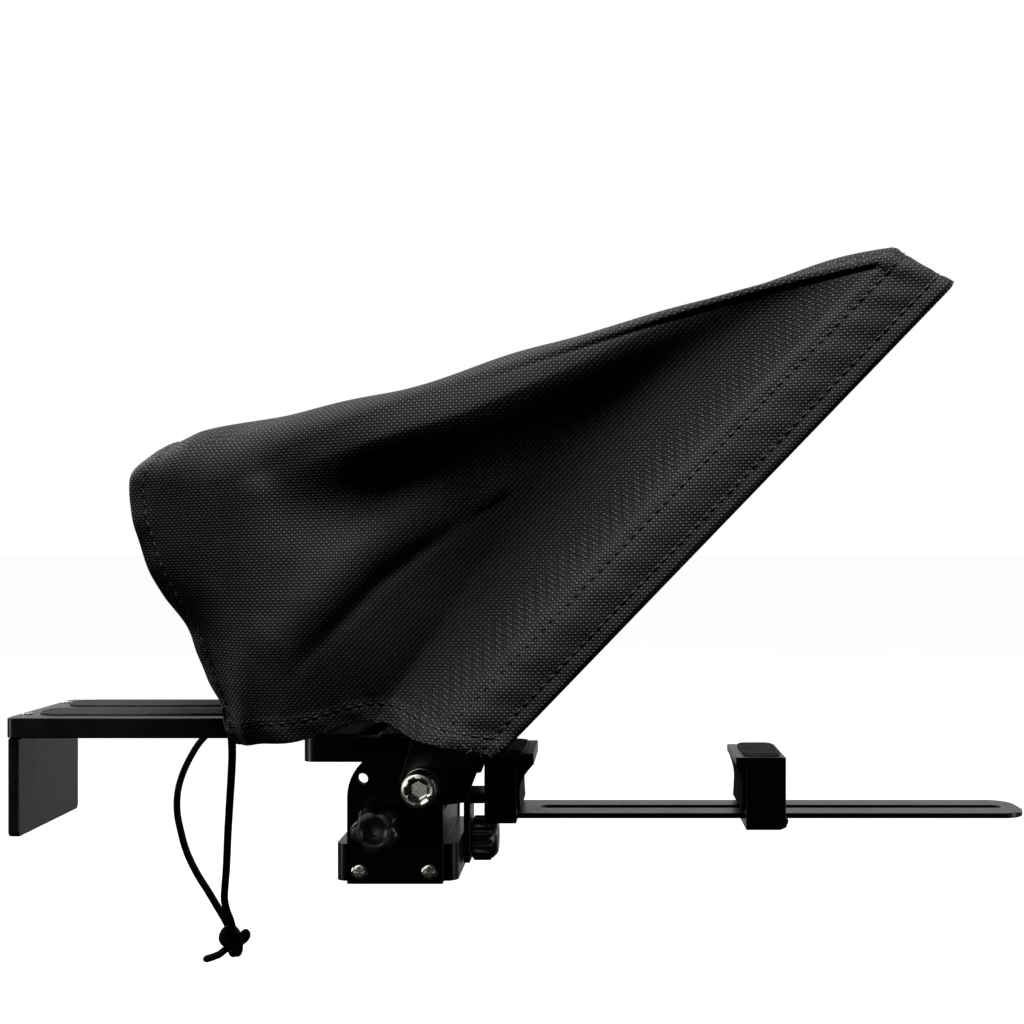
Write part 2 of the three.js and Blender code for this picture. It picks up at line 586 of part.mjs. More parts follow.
// A jaw is a block with a lip over the phone's edge, and a notch that the bar passes through.
function jaw({ back, face, lip, bottom, lipUnder, top, flange }) {
  const outwards = Math.sign(back - face);
  const round = 3;
  const foot = back + outwards * flange;
  const profile = outline([
    [face, bottom], [foot - outwards * round, bottom],
    [foot - outwards * round * 0.3, bottom + round * 0.3], [foot, bottom + round],
    [foot, bottom + round + 1], [back, bottom + round + 1.6], [back, top], [lip, top], [lip, lipUnder],
    [face, lipUnder],
  ]);
  const notch = box(-500, 500, -BAR.half - JAW.notch, BAR.half + JAW.notch,
    BAR.bottom - JAW.notch, BAR.top + JAW.notch);
  return cut(plateAcross(profile, -JAW.half, JAW.half), notch);
}
function jawPad({ back, lip, top }) {
  const inwards = Math.sign(lip - back);
  const ends = [lip - inwards * JAW_PAD.fromLip, back + inwards * JAW_PAD.fromBack];
  return plateUp(roundedShape(Math.min(...ends), Math.max(...ends), -JAW_PAD.half, JAW_PAD.half,
    JAW_PAD.corner), top, top + JAW_PAD.thick);
}

// Soft liner in the hollow under a jaw's lip, thin at its waist.
function jawLiner({ back, face, lip, lipUnder }) {
  const inwards = Math.sign(lip - back);
  const wall = face + inwards * GAP;
  const shape = new THREE.Shape();
  shape.moveTo(wall, LINER.bottom);
  shape.lineTo(wall + inwards * LINER.thin * 1.6, LINER.bottom);
  shape.quadraticCurveTo(wall + inwards * LINER.thin * 0.6, LINER.waist, lip - inwards * 0.4,
    lipUnder - GAP);
  shape.lineTo(wall, lipUnder - GAP);
  return plateAcross(shape, -LINER.half, LINER.half, 6);
}
place('fixed_jaw', jaw(FIXED_JAW), anodised);
place('fixed_jaw_pad', jawPad(FIXED_JAW), rubber);
place('fixed_jaw_liner', jawLiner(FIXED_JAW), rubber);
place('sliding_jaw', jaw(SLIDING_JAW), anodised);
place('sliding_jaw_pad', jawPad(SLIDING_JAW), rubber);
place('sliding_jaw_liner', jawLiner(SLIDING_JAW), rubber);

export default teleprompter;
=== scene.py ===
import json
import math
import random

import bmesh
import bpy
import numpy as np
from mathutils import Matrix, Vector

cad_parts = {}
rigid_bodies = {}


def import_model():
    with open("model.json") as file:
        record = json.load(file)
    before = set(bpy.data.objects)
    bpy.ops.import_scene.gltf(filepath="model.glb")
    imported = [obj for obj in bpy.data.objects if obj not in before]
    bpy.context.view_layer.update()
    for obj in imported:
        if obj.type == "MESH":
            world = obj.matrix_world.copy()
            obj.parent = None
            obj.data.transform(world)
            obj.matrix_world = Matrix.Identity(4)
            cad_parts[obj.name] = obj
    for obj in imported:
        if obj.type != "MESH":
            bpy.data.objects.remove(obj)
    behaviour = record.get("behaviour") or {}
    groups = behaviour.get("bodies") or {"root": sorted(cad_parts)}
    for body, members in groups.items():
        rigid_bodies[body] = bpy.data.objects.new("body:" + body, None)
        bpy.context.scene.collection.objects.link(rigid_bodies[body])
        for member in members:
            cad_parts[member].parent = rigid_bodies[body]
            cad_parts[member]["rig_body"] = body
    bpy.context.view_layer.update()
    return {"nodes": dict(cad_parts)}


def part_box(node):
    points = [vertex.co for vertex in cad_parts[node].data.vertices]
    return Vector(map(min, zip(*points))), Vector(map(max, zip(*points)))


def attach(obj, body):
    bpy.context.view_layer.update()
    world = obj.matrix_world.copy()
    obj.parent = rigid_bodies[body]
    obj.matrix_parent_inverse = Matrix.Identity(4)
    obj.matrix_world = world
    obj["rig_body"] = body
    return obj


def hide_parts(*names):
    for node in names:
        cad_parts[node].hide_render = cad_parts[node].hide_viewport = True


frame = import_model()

MM = 0.001


# ------------------------------------------------------------------ camera

CAMERA_PLACE = (0.0748, -0.496, 0.1219)
CAMERA_LENS = 45.0
CAMERA_SHIFT = (-0.0859, 0.0371)


def make_camera():
    data = bpy.data.cameras.new("camera")
    data.lens = CAMERA_LENS
    data.sensor_width = 36.0
    data.shift_x, data.shift_y = CAMERA_SHIFT
    data.clip_start = 0.01
    data.dof.use_dof = False
    camera = bpy.data.objects.new("camera", data)
    camera.location = CAMERA_PLACE
    camera.rotation_euler = (math.radians(90), 0, 0)
    bpy.context.scene.collection.objects.link(camera)
    bpy.context.scene.camera = camera


make_camera()


# ------------------------------------------------------------------ material helpers

class Tree:
    """A node tree, with short calls that add and link nodes."""

    def __init__(self, tree):
        self.tree = tree

    def add(self, kind, inputs=None, **settings):
        node = self.tree.nodes.new(kind)
        for key, value in settings.items():
            setattr(node, key, value)
        for key, value in (inputs or {}).items():
            if isinstance(value, bpy.types.NodeSocket):
                self.tree.links.new(value, node.inputs[key])
            else:
                node.inputs[key].default_value = value
        return node

    def math(self, operation, a, b=0.0, c=0.0):
        return self.add("ShaderNodeMath", {0: a, 1: b, 2: c}, operation=operation).outputs[0]

    def ramp(self, factor, *stops):
        node = self.add("ShaderNodeValToRGB", {"Fac": factor})
        elements = node.color_ramp.elements
        while len(elements) < len(stops):
            elements.new(0.5)
        for element, (position, color) in zip(elements, stops):
            element.position = position
            element.color = (*color, 1.0) if len(color) == 3 else color
        return node.outputs["Color"]


class Nodes(Tree):
    """A material's node tree round its one Principled shader."""

    def __init__(self, name, roughness, metallic=0.0, **sockets):
        self.material = bpy.data.materials.new(name)
        self.material.use_nodes = True
        super().__init__(self.material.node_tree)
        self.shader = self.tree.nodes["Principled BSDF"]
        self.shader.inputs["Roughness"].default_value = roughness
        self.shader.inputs["Metallic"].default_value = metallic
        for socket, value in sockets.items():
            self.shader.inputs[socket.replace("_", " ")].default_value = value

    def noise(self, scale, detail=3.0):
        place = self.add("ShaderNodeTexCoord").outputs["Object"]
        inputs = {"Vector": place, "Scale": scale, "Detail": detail, "Roughness": 0.5}
        return self.add("ShaderNodeTexNoise", inputs).outputs["Fac"]

    def remap(self, value, low, high):
        inputs = {"Value": value, "To Min": low, "To Max": high}
        return self.add("ShaderNodeMapRange", inputs).outputs["Result"]

    def mix(self, share, first, second):
        """Plain numbers blended: first at share 0, second at share 1."""
        keep = self.math("MULTIPLY", first, self.math("SUBTRACT", 1.0, share))
        return self.math("ADD", keep, self.math("MULTIPLY", second, share))

    def flat_place(self, uv_map):
        """The X and Y of a UV map."""
        flat = self.add("ShaderNodeUVMap", uv_map=uv_map).outputs["UV"]
        split = self.add("ShaderNodeSeparateXYZ", {"Vector": flat})
        return split.outputs["X"], split.outputs["Y"]

    def to(self, socket, value):
        self.tree.links.new(value, self.shader.inputs[socket])

    def bump(self, *layers):
        """Each layer is (height, distance in metres, strength). They add up in order."""
        normal = None
        for height, distance, strength in layers:
            inputs = {"Height": height, "Distance": distance, "Strength": strength}
            if normal:
                inputs["Normal"] = normal
            normal = self.add("ShaderNodeBump", inputs).outputs["Normal"]
        self.to("Normal", normal)


def grey(value):
    return (value, value, value)


def black_anodised():
    n = Nodes("black_anodised", 0.34, Specular_IOR_Level=0.5)
    slow = n.noise(45, 4)
    grain = n.noise(5200, 2)
    n.to("Base Color", n.ramp(slow, (0.3, grey(0.0016)), (0.75, (0.0026, 0.0031, 0.0029))))
    n.to("Roughness", n.remap(n.noise(160, 5), 0.27, 0.42))
    n.bump((n.noise(900, 3), 0.00002, 0.35), (grain, 0.00002, 0.5))
    return n.material


def satin_plastic():
    n = Nodes("satin_black_plastic", 0.3, Specular_IOR_Level=0.5)
    n.to("Base Color", n.ramp(n.noise(60, 3), (0.3, grey(0.008)), (0.8, grey(0.014))))
    n.to("Roughness", n.remap(n.noise(350, 5), 0.22, 0.36))
    n.bump((n.noise(2400, 3), 0.00003, 0.4))
    return n.material


def ribbed_rubber():
    n = Nodes("rubber", 0.72, Specular_IOR_Level=0.25)
    n.to("Base Color", n.ramp(n.noise(220, 5), (0.3, grey(0.016)), (0.8, (0.027, 0.029, 0.028))))
    n.to("Roughness", n.remap(n.noise(900, 4), 0.6, 0.85))
    n.bump((n.noise(3600, 3), 0.00005, 0.6))
    return n.material


def nickel_steel():
    n = Nodes("nickel_steel", 0.24, 1.0)
    n.to("Base Color", n.ramp(n.noise(300, 5), (0.3, (0.62, 0.6, 0.55)), (0.8, (0.82, 0.8, 0.74))))
    n.to("Roughness", n.remap(n.noise(800, 5), 0.14, 0.24))
    n.bump((n.noise(1800, 4), 0.000006, 0.3))
    return n.material


def coated_glass():
    n = Nodes("coated_glass", 0.015, Transmission_Weight=0.92, IOR=1.9)
    n.to("Base Color", n.ramp(n.noise(14, 2), (0.2, (0.82, 0.88, 0.87)), (0.9, (0.9, 0.93, 0.93))))
    n.to("Roughness", n.remap(n.noise(90, 5), 0.008, 0.03))
    return n.material


WEAVE_PITCH = 0.00094
THREAD_SLIP = 1.2  # how far threads wander from their row, in radians of a row
PULL_ASLANT = 0.74  # how much a pulled thread follows the front edge


def woven_nylon():
    """Plain weave whose flat coordinates, in metres, are the UV map named weave.

    X runs along the front edge and Y away from it, and threads run at 45 degrees to both. Threads
    are drawn together in rows away from the front band, and pulled aslant just behind its seam.
    """
    n = Nodes("woven_nylon", 0.62, Specular_IOR_Level=0.3)
    flat_x, flat_y = n.flat_place("weave")
    slip = n.math("MULTIPLY", n.math("SUBTRACT", n.noise(60, 2), 0.5), THREAD_SLIP)
    turns = 2 * math.pi / WEAVE_PITCH / math.sqrt(2)
    beside = n.math("ADD", n.math("MULTIPLY", flat_x, turns), slip)
    away = n.math("ADD", n.math("MULTIPLY", flat_y, turns), slip)
    posts = n.math("COSINE", beside)
    rows = n.math("COSINE", away)
    aslant = n.math("ADD", n.math("MULTIPLY", beside, PULL_ASLANT),
                    n.math("MULTIPLY", away, 1 - PULL_ASLANT))
    dashes = n.math("SINE", aslant)
    decimetres = n.math("MULTIPLY", flat_y, 10.0)
    pulled = n.ramp(decimetres, (0.22, grey(0)), (0.26, grey(0.6)), (0.30, grey(0.6)), (0.36, grey(0)))
    drawn = n.ramp(decimetres, (0.24, grey(0)), (0.42, grey(0.42)), (0.80, grey(0.3)), (0.95, grey(0.05)))
    half_drawn = n.math("MULTIPLY", drawn, 0.5)
    crossing = n.math("SUBTRACT", n.math("MULTIPLY", rows, n.math("ADD", 0.5, half_drawn)),
                      n.math("MULTIPLY", posts, n.math("SUBTRACT", 0.5, half_drawn)))
    crossing = n.mix(pulled, crossing, n.math("ADD", n.math("MULTIPLY", dashes, 0.65),
                                              n.math("MULTIPLY", crossing, 0.4)))
    over = n.math("POWER", n.math("MAXIMUM", crossing, 0.0), 0.8)
    under = n.math("POWER", n.math("MAXIMUM", n.math("MULTIPLY", crossing, -1.0), 0.0), 0.75)
    height = n.math("ADD", over, n.math("MULTIPLY", under, 0.28))
    worn = n.math("MULTIPLY", n.noise(38, 4), 0.25)
    # Base colour follows the thread height: painted shade down between the threads and a painted highlight
    # on their crowns, with random wear from worn added on top.
    tone = n.math("ADD", n.math("MULTIPLY", height, 0.85), worn)
    n.to("Base Color", n.ramp(tone, (0.14, (0.0018, 0.0021, 0.0023)), (0.5, (0.015, 0.0154, 0.0168)),
                              (1.0, (0.068, 0.069, 0.075))))
    n.to("Roughness", n.remap(height, 0.8, 0.5))
    n.bump((height, 0.0003, 0.9), (n.noise(2600, 4), 0.00005, 0.35))
    return n.material


def sewing_thread():
    n = Nodes("sewing_thread", 0.6, Specular_IOR_Level=0.4)
    n.to("Base Color", n.ramp(n.noise(900, 4), (0.3, grey(0.005)), (0.8, grey(0.016))))
    n.bump((n.noise(5200, 2), 0.00006, 0.5))
    return n.material


BRAID_STRANDS = 8
BRAID_PITCH = 0.0011


def braided_cord():
    """A round braid: the UV map named braid runs round the cord in X and along it, in metres, in Y."""
    n = Nodes("braided_cord", 0.7, Specular_IOR_Level=0.12)
    flat_x, flat_y = n.flat_place("braid")
    round_turns = n.math("MULTIPLY", flat_x, BRAID_STRANDS * math.pi)
    length_turns = n.math("MULTIPLY", flat_y, math.pi / BRAID_PITCH)
    left = n.math("SINE", n.math("ADD", round_turns, length_turns))
    right = n.math("SINE", n.math("SUBTRACT", round_turns, length_turns))
    height = n.math("ABSOLUTE", n.math("MULTIPLY", left, right))
    # Base colour follows the braid's height: painted shade in the hollows between strands, lighter on the
    # strands' crowns.
    n.to("Base Color", n.ramp(height, (0.1, grey(0.001)), (0.9, (0.0045, 0.005, 0.005))))
    n.to("Roughness", n.remap(height, 0.8, 0.6))
    n.bump((height, 0.0002, 0.7), (n.noise(3800, 3), 0.00004, 0.4))
    return n.material


def pale_floor():
    n = Nodes("pale_floor", 0.9, Specular_IOR_Level=0.0, Emission_Color=(1, 1, 1, 1),
              Emission_Strength=0.82)
    n.to("Base Color", n.ramp(n.noise(3, 3), (0.2, grey(0.36)), (0.9, grey(0.4))))
    return n.material


METAL = black_anodised()
PLASTIC = satin_plastic()
RUBBER = ribbed_rubber()
STEEL = nickel_steel()
GLASS = coated_glass()
CLOTH = woven_nylon()
THREAD = sewing_thread()
CORD = braided_cord()


# ------------------------------------------------------------------ mesh helpers

def linked(name, mesh, material):
    piece = bpy.data.objects.new(name, mesh)
    if material:
        mesh.materials.clear()
        mesh.materials.append(material)
    bpy.context.scene.collection.objects.link(piece)
    return piece


def mesh_piece(name, points, faces, material, sharp=35):
    mesh = bpy.data.meshes.new(name)
    mesh.from_pydata([tuple(p) for p in points], [], faces)
    work = bmesh.new()
    work.from_mesh(mesh)
    bmesh.ops.recalc_face_normals(work, faces=work.faces)
    work.to_mesh(mesh)
    work.free()
    mesh.polygons.foreach_set("use_smooth", [True] * len(mesh.polygons))
    mesh.set_sharp_from_angle(angle=math.radians(sharp))
    return linked(name, mesh, material)


def stands_for(piece, slot, *nodes):
    """The piece hides the CAD nodes and rides on their body. The slot is not used."""
    body = frame["nodes"][nodes[0]]["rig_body"]
    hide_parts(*nodes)
    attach(piece, body)
    return piece


def baked_modifiers(piece):
    graph = bpy.context.evaluated_depsgraph_get()
    mesh = bpy.data.meshes.new_from_object(piece.evaluated_get(graph))
    old = piece.data
    piece.modifiers.clear()
    piece.data = mesh
    bpy.data.meshes.remove(old)
    mesh.name = piece.name


def eased(node, edge, material, slot, segments=2, angle=28):
    """The CAD node's own shape with its edges broken, as a machined or moulded piece has them."""
    mesh = frame["nodes"][node].data.copy()
    work = bmesh.new()
    work.from_mesh(mesh)
    bmesh.ops.remove_doubles(work, verts=work.verts, dist=1e-6)
    bmesh.ops.dissolve_limit(work, angle_limit=math.radians(0.8), verts=work.verts, edges=work.edges)
    work.to_mesh(mesh)
    work.free()
    for name in ("custom_normal", "sharp_edge", "sharp_face"):
        if name in mesh.attributes:
            mesh.attributes.remove(mesh.attributes[name])
    mesh.polygons.foreach_set("use_smooth", [True] * len(mesh.polygons))
    piece = linked(f"{node}_finished", mesh, material)
    bevel = piece.modifiers.new("edges", "BEVEL")
    bevel.width = edge
    bevel.segments = segments
    bevel.limit_method = "ANGLE"
    bevel.angle_limit = math.radians(angle)
    bevel.use_clamp_overlap = True
    weighted = piece.modifiers.new("normals", "WEIGHTED_NORMAL")
    weighted.keep_sharp = True
    baked_modifiers(piece)
    return stands_for(piece, slot, node)


def frame_of(axis):
    a = Vector(axis).normalized()
    u = Vector((0, 0, 1)) if abs(a.z) < 0.9 else Vector((1, 0, 0))
    u = (u - a * u.dot(a)).normalized()
    return a, u, a.cross(u)


def ring_faces(first, rings, sides, closed=False):
    """Quads between neighbouring rings of points and, if closed, from the last ring to the first."""
    faces = []
    for k in range(rings if closed else rings - 1):
        low, high = first + k * sides, first + (k + 1) % rings * sides
        for i in range(sides):
            j = (i + 1) % sides
            faces.append((low + i, low + j, high + j, high + i))
    return faces


def turned(name, centre, axis, rings, material, steps=64, hollow=False, sharp=35):
    """A body of rings round an axis. A ring is (distance along the axis, radius or radius of angle)."""
    a, u, v = frame_of(axis)
    centre = Vector(centre)
    points = []
    for along, radius in rings:
        for i in range(steps):
            turn = 2 * math.pi * i / steps
            r = radius(turn) if callable(radius) else radius
            points.append(centre + a * along + u * (r * math.cos(turn)) + v * (r * math.sin(turn)))
    faces = ring_faces(0, len(rings), steps, closed=hollow)
    if not hollow:
        for k, flip in ((0, 1), (len(rings) - 1, -1)):
            points.append(centre + a * rings[k][0])
            middle = len(points) - 1
            for i in range(steps):
                ends = (k * steps + i, k * steps + (i + 1) % steps)
                faces.append((middle, *(ends[::-1] if flip > 0 else ends)))
    return mesh_piece(name, points, faces, material, sharp)


def hexagon(across):
    """Radius of a hexagon measured to its corners, at each angle."""
    def radius(turn):
        step = math.pi / 3
        return across * math.cos(step / 2) / math.cos((turn % step) - step / 2)
    return radius


def cross_shape(arm, half_width):
    def radius(turn):
        off = abs((turn + math.pi / 4) % (math.pi / 2) - math.pi / 4)
        return min(arm / math.cos(off), half_width / max(math.sin(off), 1e-6))
    return radius


def rippled(base, depth, count):
    return lambda turn: base - depth * (0.5 - 0.5 * math.cos(count * turn))


def lobed(base, depth, count, phase=0.0):
    return lambda turn: base - depth * (0.5 + 0.5 * math.cos(count * turn + phase)) ** 2


# ------------------------------------------------------------------ cords

CORD_DIAMETER = 0.0028
NEAR_STRAND = [
    (-0.0570, -0.0455, 0.0660), (-0.0558, -0.0455, 0.0610), (-0.0550, -0.0450, 0.0555),
    (-0.0553, -0.0432, 0.0490), (-0.0566, -0.0398, 0.0410), (-0.0584, -0.0350, 0.0335),
    (-0.0604, -0.0295, 0.0256), (-0.0624, -0.0240, 0.0175), (-0.0640, -0.0195, 0.0095),
    (-0.0658, -0.0145, 0.0011), (-0.0676, -0.0100, -0.0060), (-0.0686, -0.0072, -0.0114),
    (-0.0684, -0.0049, -0.0164), (-0.0676, -0.0032, -0.0202), (-0.0670, -0.0024, -0.0234),
    (-0.0666, -0.0016, -0.0262),
]
FAR_STRAND = [
    (-0.0586, 0.0455, 0.0660), (-0.0630, 0.0462, 0.0620), (-0.0703, 0.0464, 0.0576),
    (-0.0792, 0.0452, 0.0526), (-0.0868, 0.0425, 0.0475), (-0.0923, 0.0400, 0.0419),
    (-0.0958, 0.0375, 0.0357), (-0.0984, 0.0350, 0.0288), (-0.0992, 0.0315, 0.0220),
    (-0.0981, 0.0275, 0.0148), (-0.0952, 0.0233, 0.0076), (-0.0914, 0.0190, 0.0003),
    (-0.0860, 0.0146, -0.0070), (-0.0801, 0.0102, -0.0131), (-0.0754, 0.0066, -0.0182),
    (-0.0718, 0.0042, -0.0224), (-0.0699, 0.0032, -0.0252),
]
KNOT_CENTRE = Vector((-0.0667, 0.0, -0.0293))
KNOT_TAIL = [(-0.0713, -0.0014, -0.0336), (-0.0732, -0.0019, -0.0346), (-0.0752, -0.0023, -0.0353),
             (-0.0770, -0.0026, -0.0357)]


def catmull(points, per_span):
    """Points on the smooth curve through the given ones."""
    p = [np.array(q, float) for q in points]
    p = [2 * p[0] - p[1]] + p + [2 * p[-1] - p[-2]]
    out = []
    for k in range(1, len(p) - 2):
        a, b, c, d = p[k - 1:k + 3]
        for i in range(per_span):
            t = i / per_span
            out.append(0.5 * (2 * b + (c - a) * t + (2 * a - 5 * b + 4 * c - d) * t * t
                              + (3 * b - a - 3 * c + d) * t ** 3))
    out.append(p[-2])
    return out


def running_length(points, axis=0):
    """The length run from the first point, along one axis of a line or grid of points."""
    steps = np.linalg.norm(np.diff(points, axis=axis), axis=-1)
    start = np.zeros_like(np.take(steps, [0], axis=axis))
    return np.concatenate([start, np.cumsum(steps, axis=axis)], axis=axis)


# A cord's round end: how far past its last point, and the ring's scale, both in radii.
ROUND_END = [(-0.8, 0.35), (-0.44, 0.8)]


def cord_tube(name, routes, radius, material, sides=14):
    """Round-ended tubes along smooth routes, joined in one piece, with the braid's flat coordinates."""
    points, faces, flats = [], [], []
    for route in routes:
        tangent = [np.array(route[min(i + 1, len(route) - 1)]) - np.array(route[max(i - 1, 0)])
                   for i in range(len(route))]
        tangent = [t / np.linalg.norm(t) for t in tangent]
        stations = [(route[0] + tangent[0] * radius * k, tangent[0], r) for k, r in ROUND_END]
        stations += [(q, t, 1.0) for q, t in zip(route, tangent)]
        stations += [(route[-1] - tangent[-1] * radius * k, tangent[-1], r) for k, r in ROUND_END[::-1]]
        side = np.cross(tangent[0], (0.0, 1.0, 0.3))
        first = len(points)
        run = 0.0
        previous = stations[0][0]
        for centre, direction, scale in stations:
            side = side - direction * np.dot(side, direction)
            side = side / np.linalg.norm(side)
            other = np.cross(direction, side)
            run += float(np.linalg.norm(centre - previous))
            previous = centre
            for i in range(sides):
                turn = 2 * math.pi * i / sides
                points.append(centre + radius * scale * (side * math.cos(turn) + other * math.sin(turn)))
                flats.append((i / sides, run))
        faces += ring_faces(first, len(stations), sides)
        for k in (0, len(stations) - 1):
            faces.append(tuple(first + k * sides + i for i in range(sides)))
    piece = mesh_piece(name, points, faces, material, 70)
    layer = piece.data.uv_layers.new(name="braid")
    for polygon in piece.data.polygons:
        turns = [flats[piece.data.loops[k].vertex_index][0] for k in polygon.loop_indices]
        wraps = max(turns) - min(turns) > 0.5 and len(turns) == 4
        for k in polygon.loop_indices:
            around, run = flats[piece.data.loops[k].vertex_index]
            layer.data[k].uv = (around + (1.0 if wraps and around < 0.5 else 0.0), run)
    return piece


def knot_route(shift, start, sweep):
    """One strand of an overhand knot tied in the doubled cord: a trefoil's loops beside their twin."""
    points = []
    for i in range(34):
        turn = math.radians(start + sweep * i / 33)
        wide = 0.5 + 0.5 * math.cos(3 * turn)
        points.append(KNOT_CENTRE + Vector((
            0.0015 * (math.sin(turn) + 1.8 * math.sin(2 * turn)) + shift * math.cos(turn),
            0.0019 * math.sin(3 * turn) + 0.6 * shift * wide,
            0.0018 * (math.cos(turn) - 1.8 * math.cos(2 * turn)) + shift * math.sin(turn))))
    return [tuple(q) for q in points]


def make_cords():
    near_route = catmull(NEAR_STRAND, 6)
    far_route = catmull(FAR_STRAND, 6)
    knot_loops = [catmull(knot_route(0.0008, 100, 318), 3), catmull(knot_route(-0.0009, 80, 300), 3)]
    tail = catmull([tuple(knot_loops[0][-1]), *KNOT_TAIL], 5)
    near = cord_tube("near_drawstring_braid", [near_route], CORD_DIAMETER / 2, CORD)
    far = cord_tube("far_drawstring_braid", [far_route], CORD_DIAMETER / 2, CORD)
    knot = cord_tube("drawstring_knot_braid", [*knot_loops, tail], CORD_DIAMETER / 2, CORD)
    stands_for(near, "drawstring", "near_drawstring")
    stands_for(far, "drawstring", "far_drawstring")
    stands_for(knot, "drawstring", "drawstring_knot", "drawstring_tail")


make_cords()


# ------------------------------------------------------------------ hood

TILT = math.radians(46.6)
FRONT_EDGE = (45.0, 56.1)
BAND_DEPTH = 21.0
HOOD_HALF_FRONT = 85.0
BACK_STEPS = 100  # columns from the rear opening to the band
BAND_STEPS = 14  # columns across the band
FLANGE = (0.0, 0.5, 1.4, 3.0, 5.0, 7.0)  # how far the front binding reaches inwards
SIDE_STEPS = 92  # rows up a side panel
CORNER_STEPS = 10  # rows round a top corner
TOP_STEPS = 44  # rows across the roof
SECTION_ROWS = 2 * (SIDE_STEPS + CORNER_STEPS) + TOP_STEPS + 1
ROW_CROWDING = 0.11  # draws a side panel's rows towards its middle, where the folds are
CLOTH_THICK = 0.6
FRONT_SLACK = 3.4  # how far the bottom of the front edge lies behind the glass frame's plane


def from_glass(along, behind):
    """X and Z at a distance along the front edge and behind it."""
    return (FRONT_EDGE[0] + along * math.cos(TILT) - behind * math.sin(TILT),
            FRONT_EDGE[1] + along * math.sin(TILT) + behind * math.cos(TILT))


def to_glass(x, z):
    """Distances along the front edge and behind it, of a place in X and Z."""
    over, up = x - FRONT_EDGE[0], z - FRONT_EDGE[1]
    return (over * math.cos(TILT) + up * math.sin(TILT), up * math.cos(TILT) - over * math.sin(TILT))


def knots(table, at):
    """Smooth value of a table of (position, value) at the given positions."""
    xs = np.array([row[0] for row in table], float)
    ys = np.array([row[1] for row in table], float)
    slopes = np.gradient(ys, xs)
    at = np.clip(np.asarray(at, float), xs[0], xs[-1])
    k = np.clip(np.searchsorted(xs, at, side="right") - 1, 0, len(xs) - 2)
    span = xs[k + 1] - xs[k]
    t = (at - xs[k]) / span
    return ((1 + 2 * t) * (1 - t) ** 2 * ys[k] + t * (1 - t) ** 2 * span * slopes[k]
            + t * t * (3 - 2 * t) * ys[k + 1] + t * t * (t - 1) * span * slopes[k + 1])


# Lower hem, top edge and width at shares of the way from the rear opening to the band.
LOW_REAR = -53.7
LOW_HEM = [(-53.7, 54.5), (-48.9, 54.5), (-40, 56.3), (-24.8, 57.9), (-20.6, 59.2), (-12.3, 62.2),
           (-2.5, 64.3), (3.6, 63.8), (9.6, 61.9), (14.8, 59.9), (28, 57.8), (45, 55.6)]
TOP_X = [(0, -83), (0.1, -70), (0.2, -55), (0.4, -18), (0.6, 44), (0.8, 108), (1, 170.2)]
TOP_Z = [(0, 157), (0.05, 158.5), (0.1, 160), (0.2, 163.5), (0.3, 168.5), (0.4, 174), (0.5, 180.5),
         (0.6, 188), (0.7, 196.5), (0.8, 205.6), (0.9, 213.8), (1, 220.2)]
HALF = [(0, 42), (0.04, 47.5), (0.1, 53.5), (0.2, 58.5), (0.4, 65), (0.7, 75), (1, 82.6)]
CORNER = [(0, 10), (0.08, 14), (0.2, 18), (0.4, 13), (0.6, 8), (1, 6)]
CROWN = [(0, 3), (0.1, 3), (0.2, 2.5), (0.35, 0), (0.6, -3), (0.9, -1.5), (1, 0)]
# The rear opening's edge: X at heights.
REAR_EDGE = [(54.3, -53.7), (58.9, -57.0), (68.4, -59.4), (75.7, -63.6), (84.1, -67.2), (92.5, -70.2),
             (100.9, -75.5), (105.1, -79), (109.3, -81.8), (117.7, -85.7), (126.1, -88.6), (134.5, -91),
             (142.5, -92), (150, -90.5), (157, -83)]


def line_field(x, z, line):
    """Share along a bent line and distance from it, positive above, for points in X and Z."""
    best = np.full(x.shape, 1e9)
    share = np.zeros(x.shape)
    away = np.zeros(x.shape)
    for k, ((x0, z0), (x1, z1)) in enumerate(zip(line, line[1:])):
        dx, dz = x1 - x0, z1 - z0
        size = math.hypot(dx, dz)
        t = np.clip(((x - x0) * dx + (z - z0) * dz) / size ** 2, 0, 1)
        ox, oz = x - (x0 + t * dx), z - (z0 + t * dz)
        d = np.hypot(ox, oz)
        nx, nz = -dz / size, dx / size
        if nz < 0:
            nx, nz = -nx, -nz
        sign = np.where(ox * nx + oz * nz < 0, -1.0, 1.0)
        closer = d < best
        best = np.where(closer, d, best)
        share = np.where(closer, k + t, share)
        away = np.where(closer, sign * d, away)
    return share, away


# Lines of the near panel in X and Z. Each table below one gives a value at the numbers of its points.
MAIN_FOLD = [(152, 213), (124, 202), (94, 186), (72, 175), (52, 166.5), (32, 158), (6, 151), (-14, 145),
             (-34, 137)]
MAIN_FOLD_DROP = [(0, 1.5), (1, 4), (2, 6), (3, 9), (4, 13), (5, 15), (6, 12), (7, 5), (8, 0)]
MAIN_FOLD_WIDTH = [(0, 0.35), (1, 0.5), (2, 0.65), (3, 0.9), (4, 1.25), (5, 1.35), (6, 0.95), (8, 0.75)]
SLANT_CREASE = [(31, 133), (15, 123), (0, 112), (-14, 97), (-25, 86), (-30.5, 77.5), (-45, 50)]
SLANT_CREASE_DEPTH = [(0, 0.2), (1, 0.8), (2, 1), (3, 0.9), (4, 0.5), (5, 0.1), (6, 0)]
REAR_RIDGE = [(-41, 140), (-43, 110), (-47, 66)]
# The trough behind the band: its depth and its reach at distances along the front edge.
TROUGH_DEPTH = [(-30, 11), (30, 12), (75, 9), (120, 5.5), (170, 3), (210, 1)]
TROUGH_REACH = [(0, 29), (80, 28), (150, 20)]
TROUGH_BEHIND = 27  # from the front edge to the middle of the trough


def bell(distance, width):
    return np.exp(-(distance / width) ** 2)


def step_up(distance, width):
    """Rises smoothly from 0 to 1 across distance 0."""
    return 0.5 + 0.5 * np.tanh(distance / width)


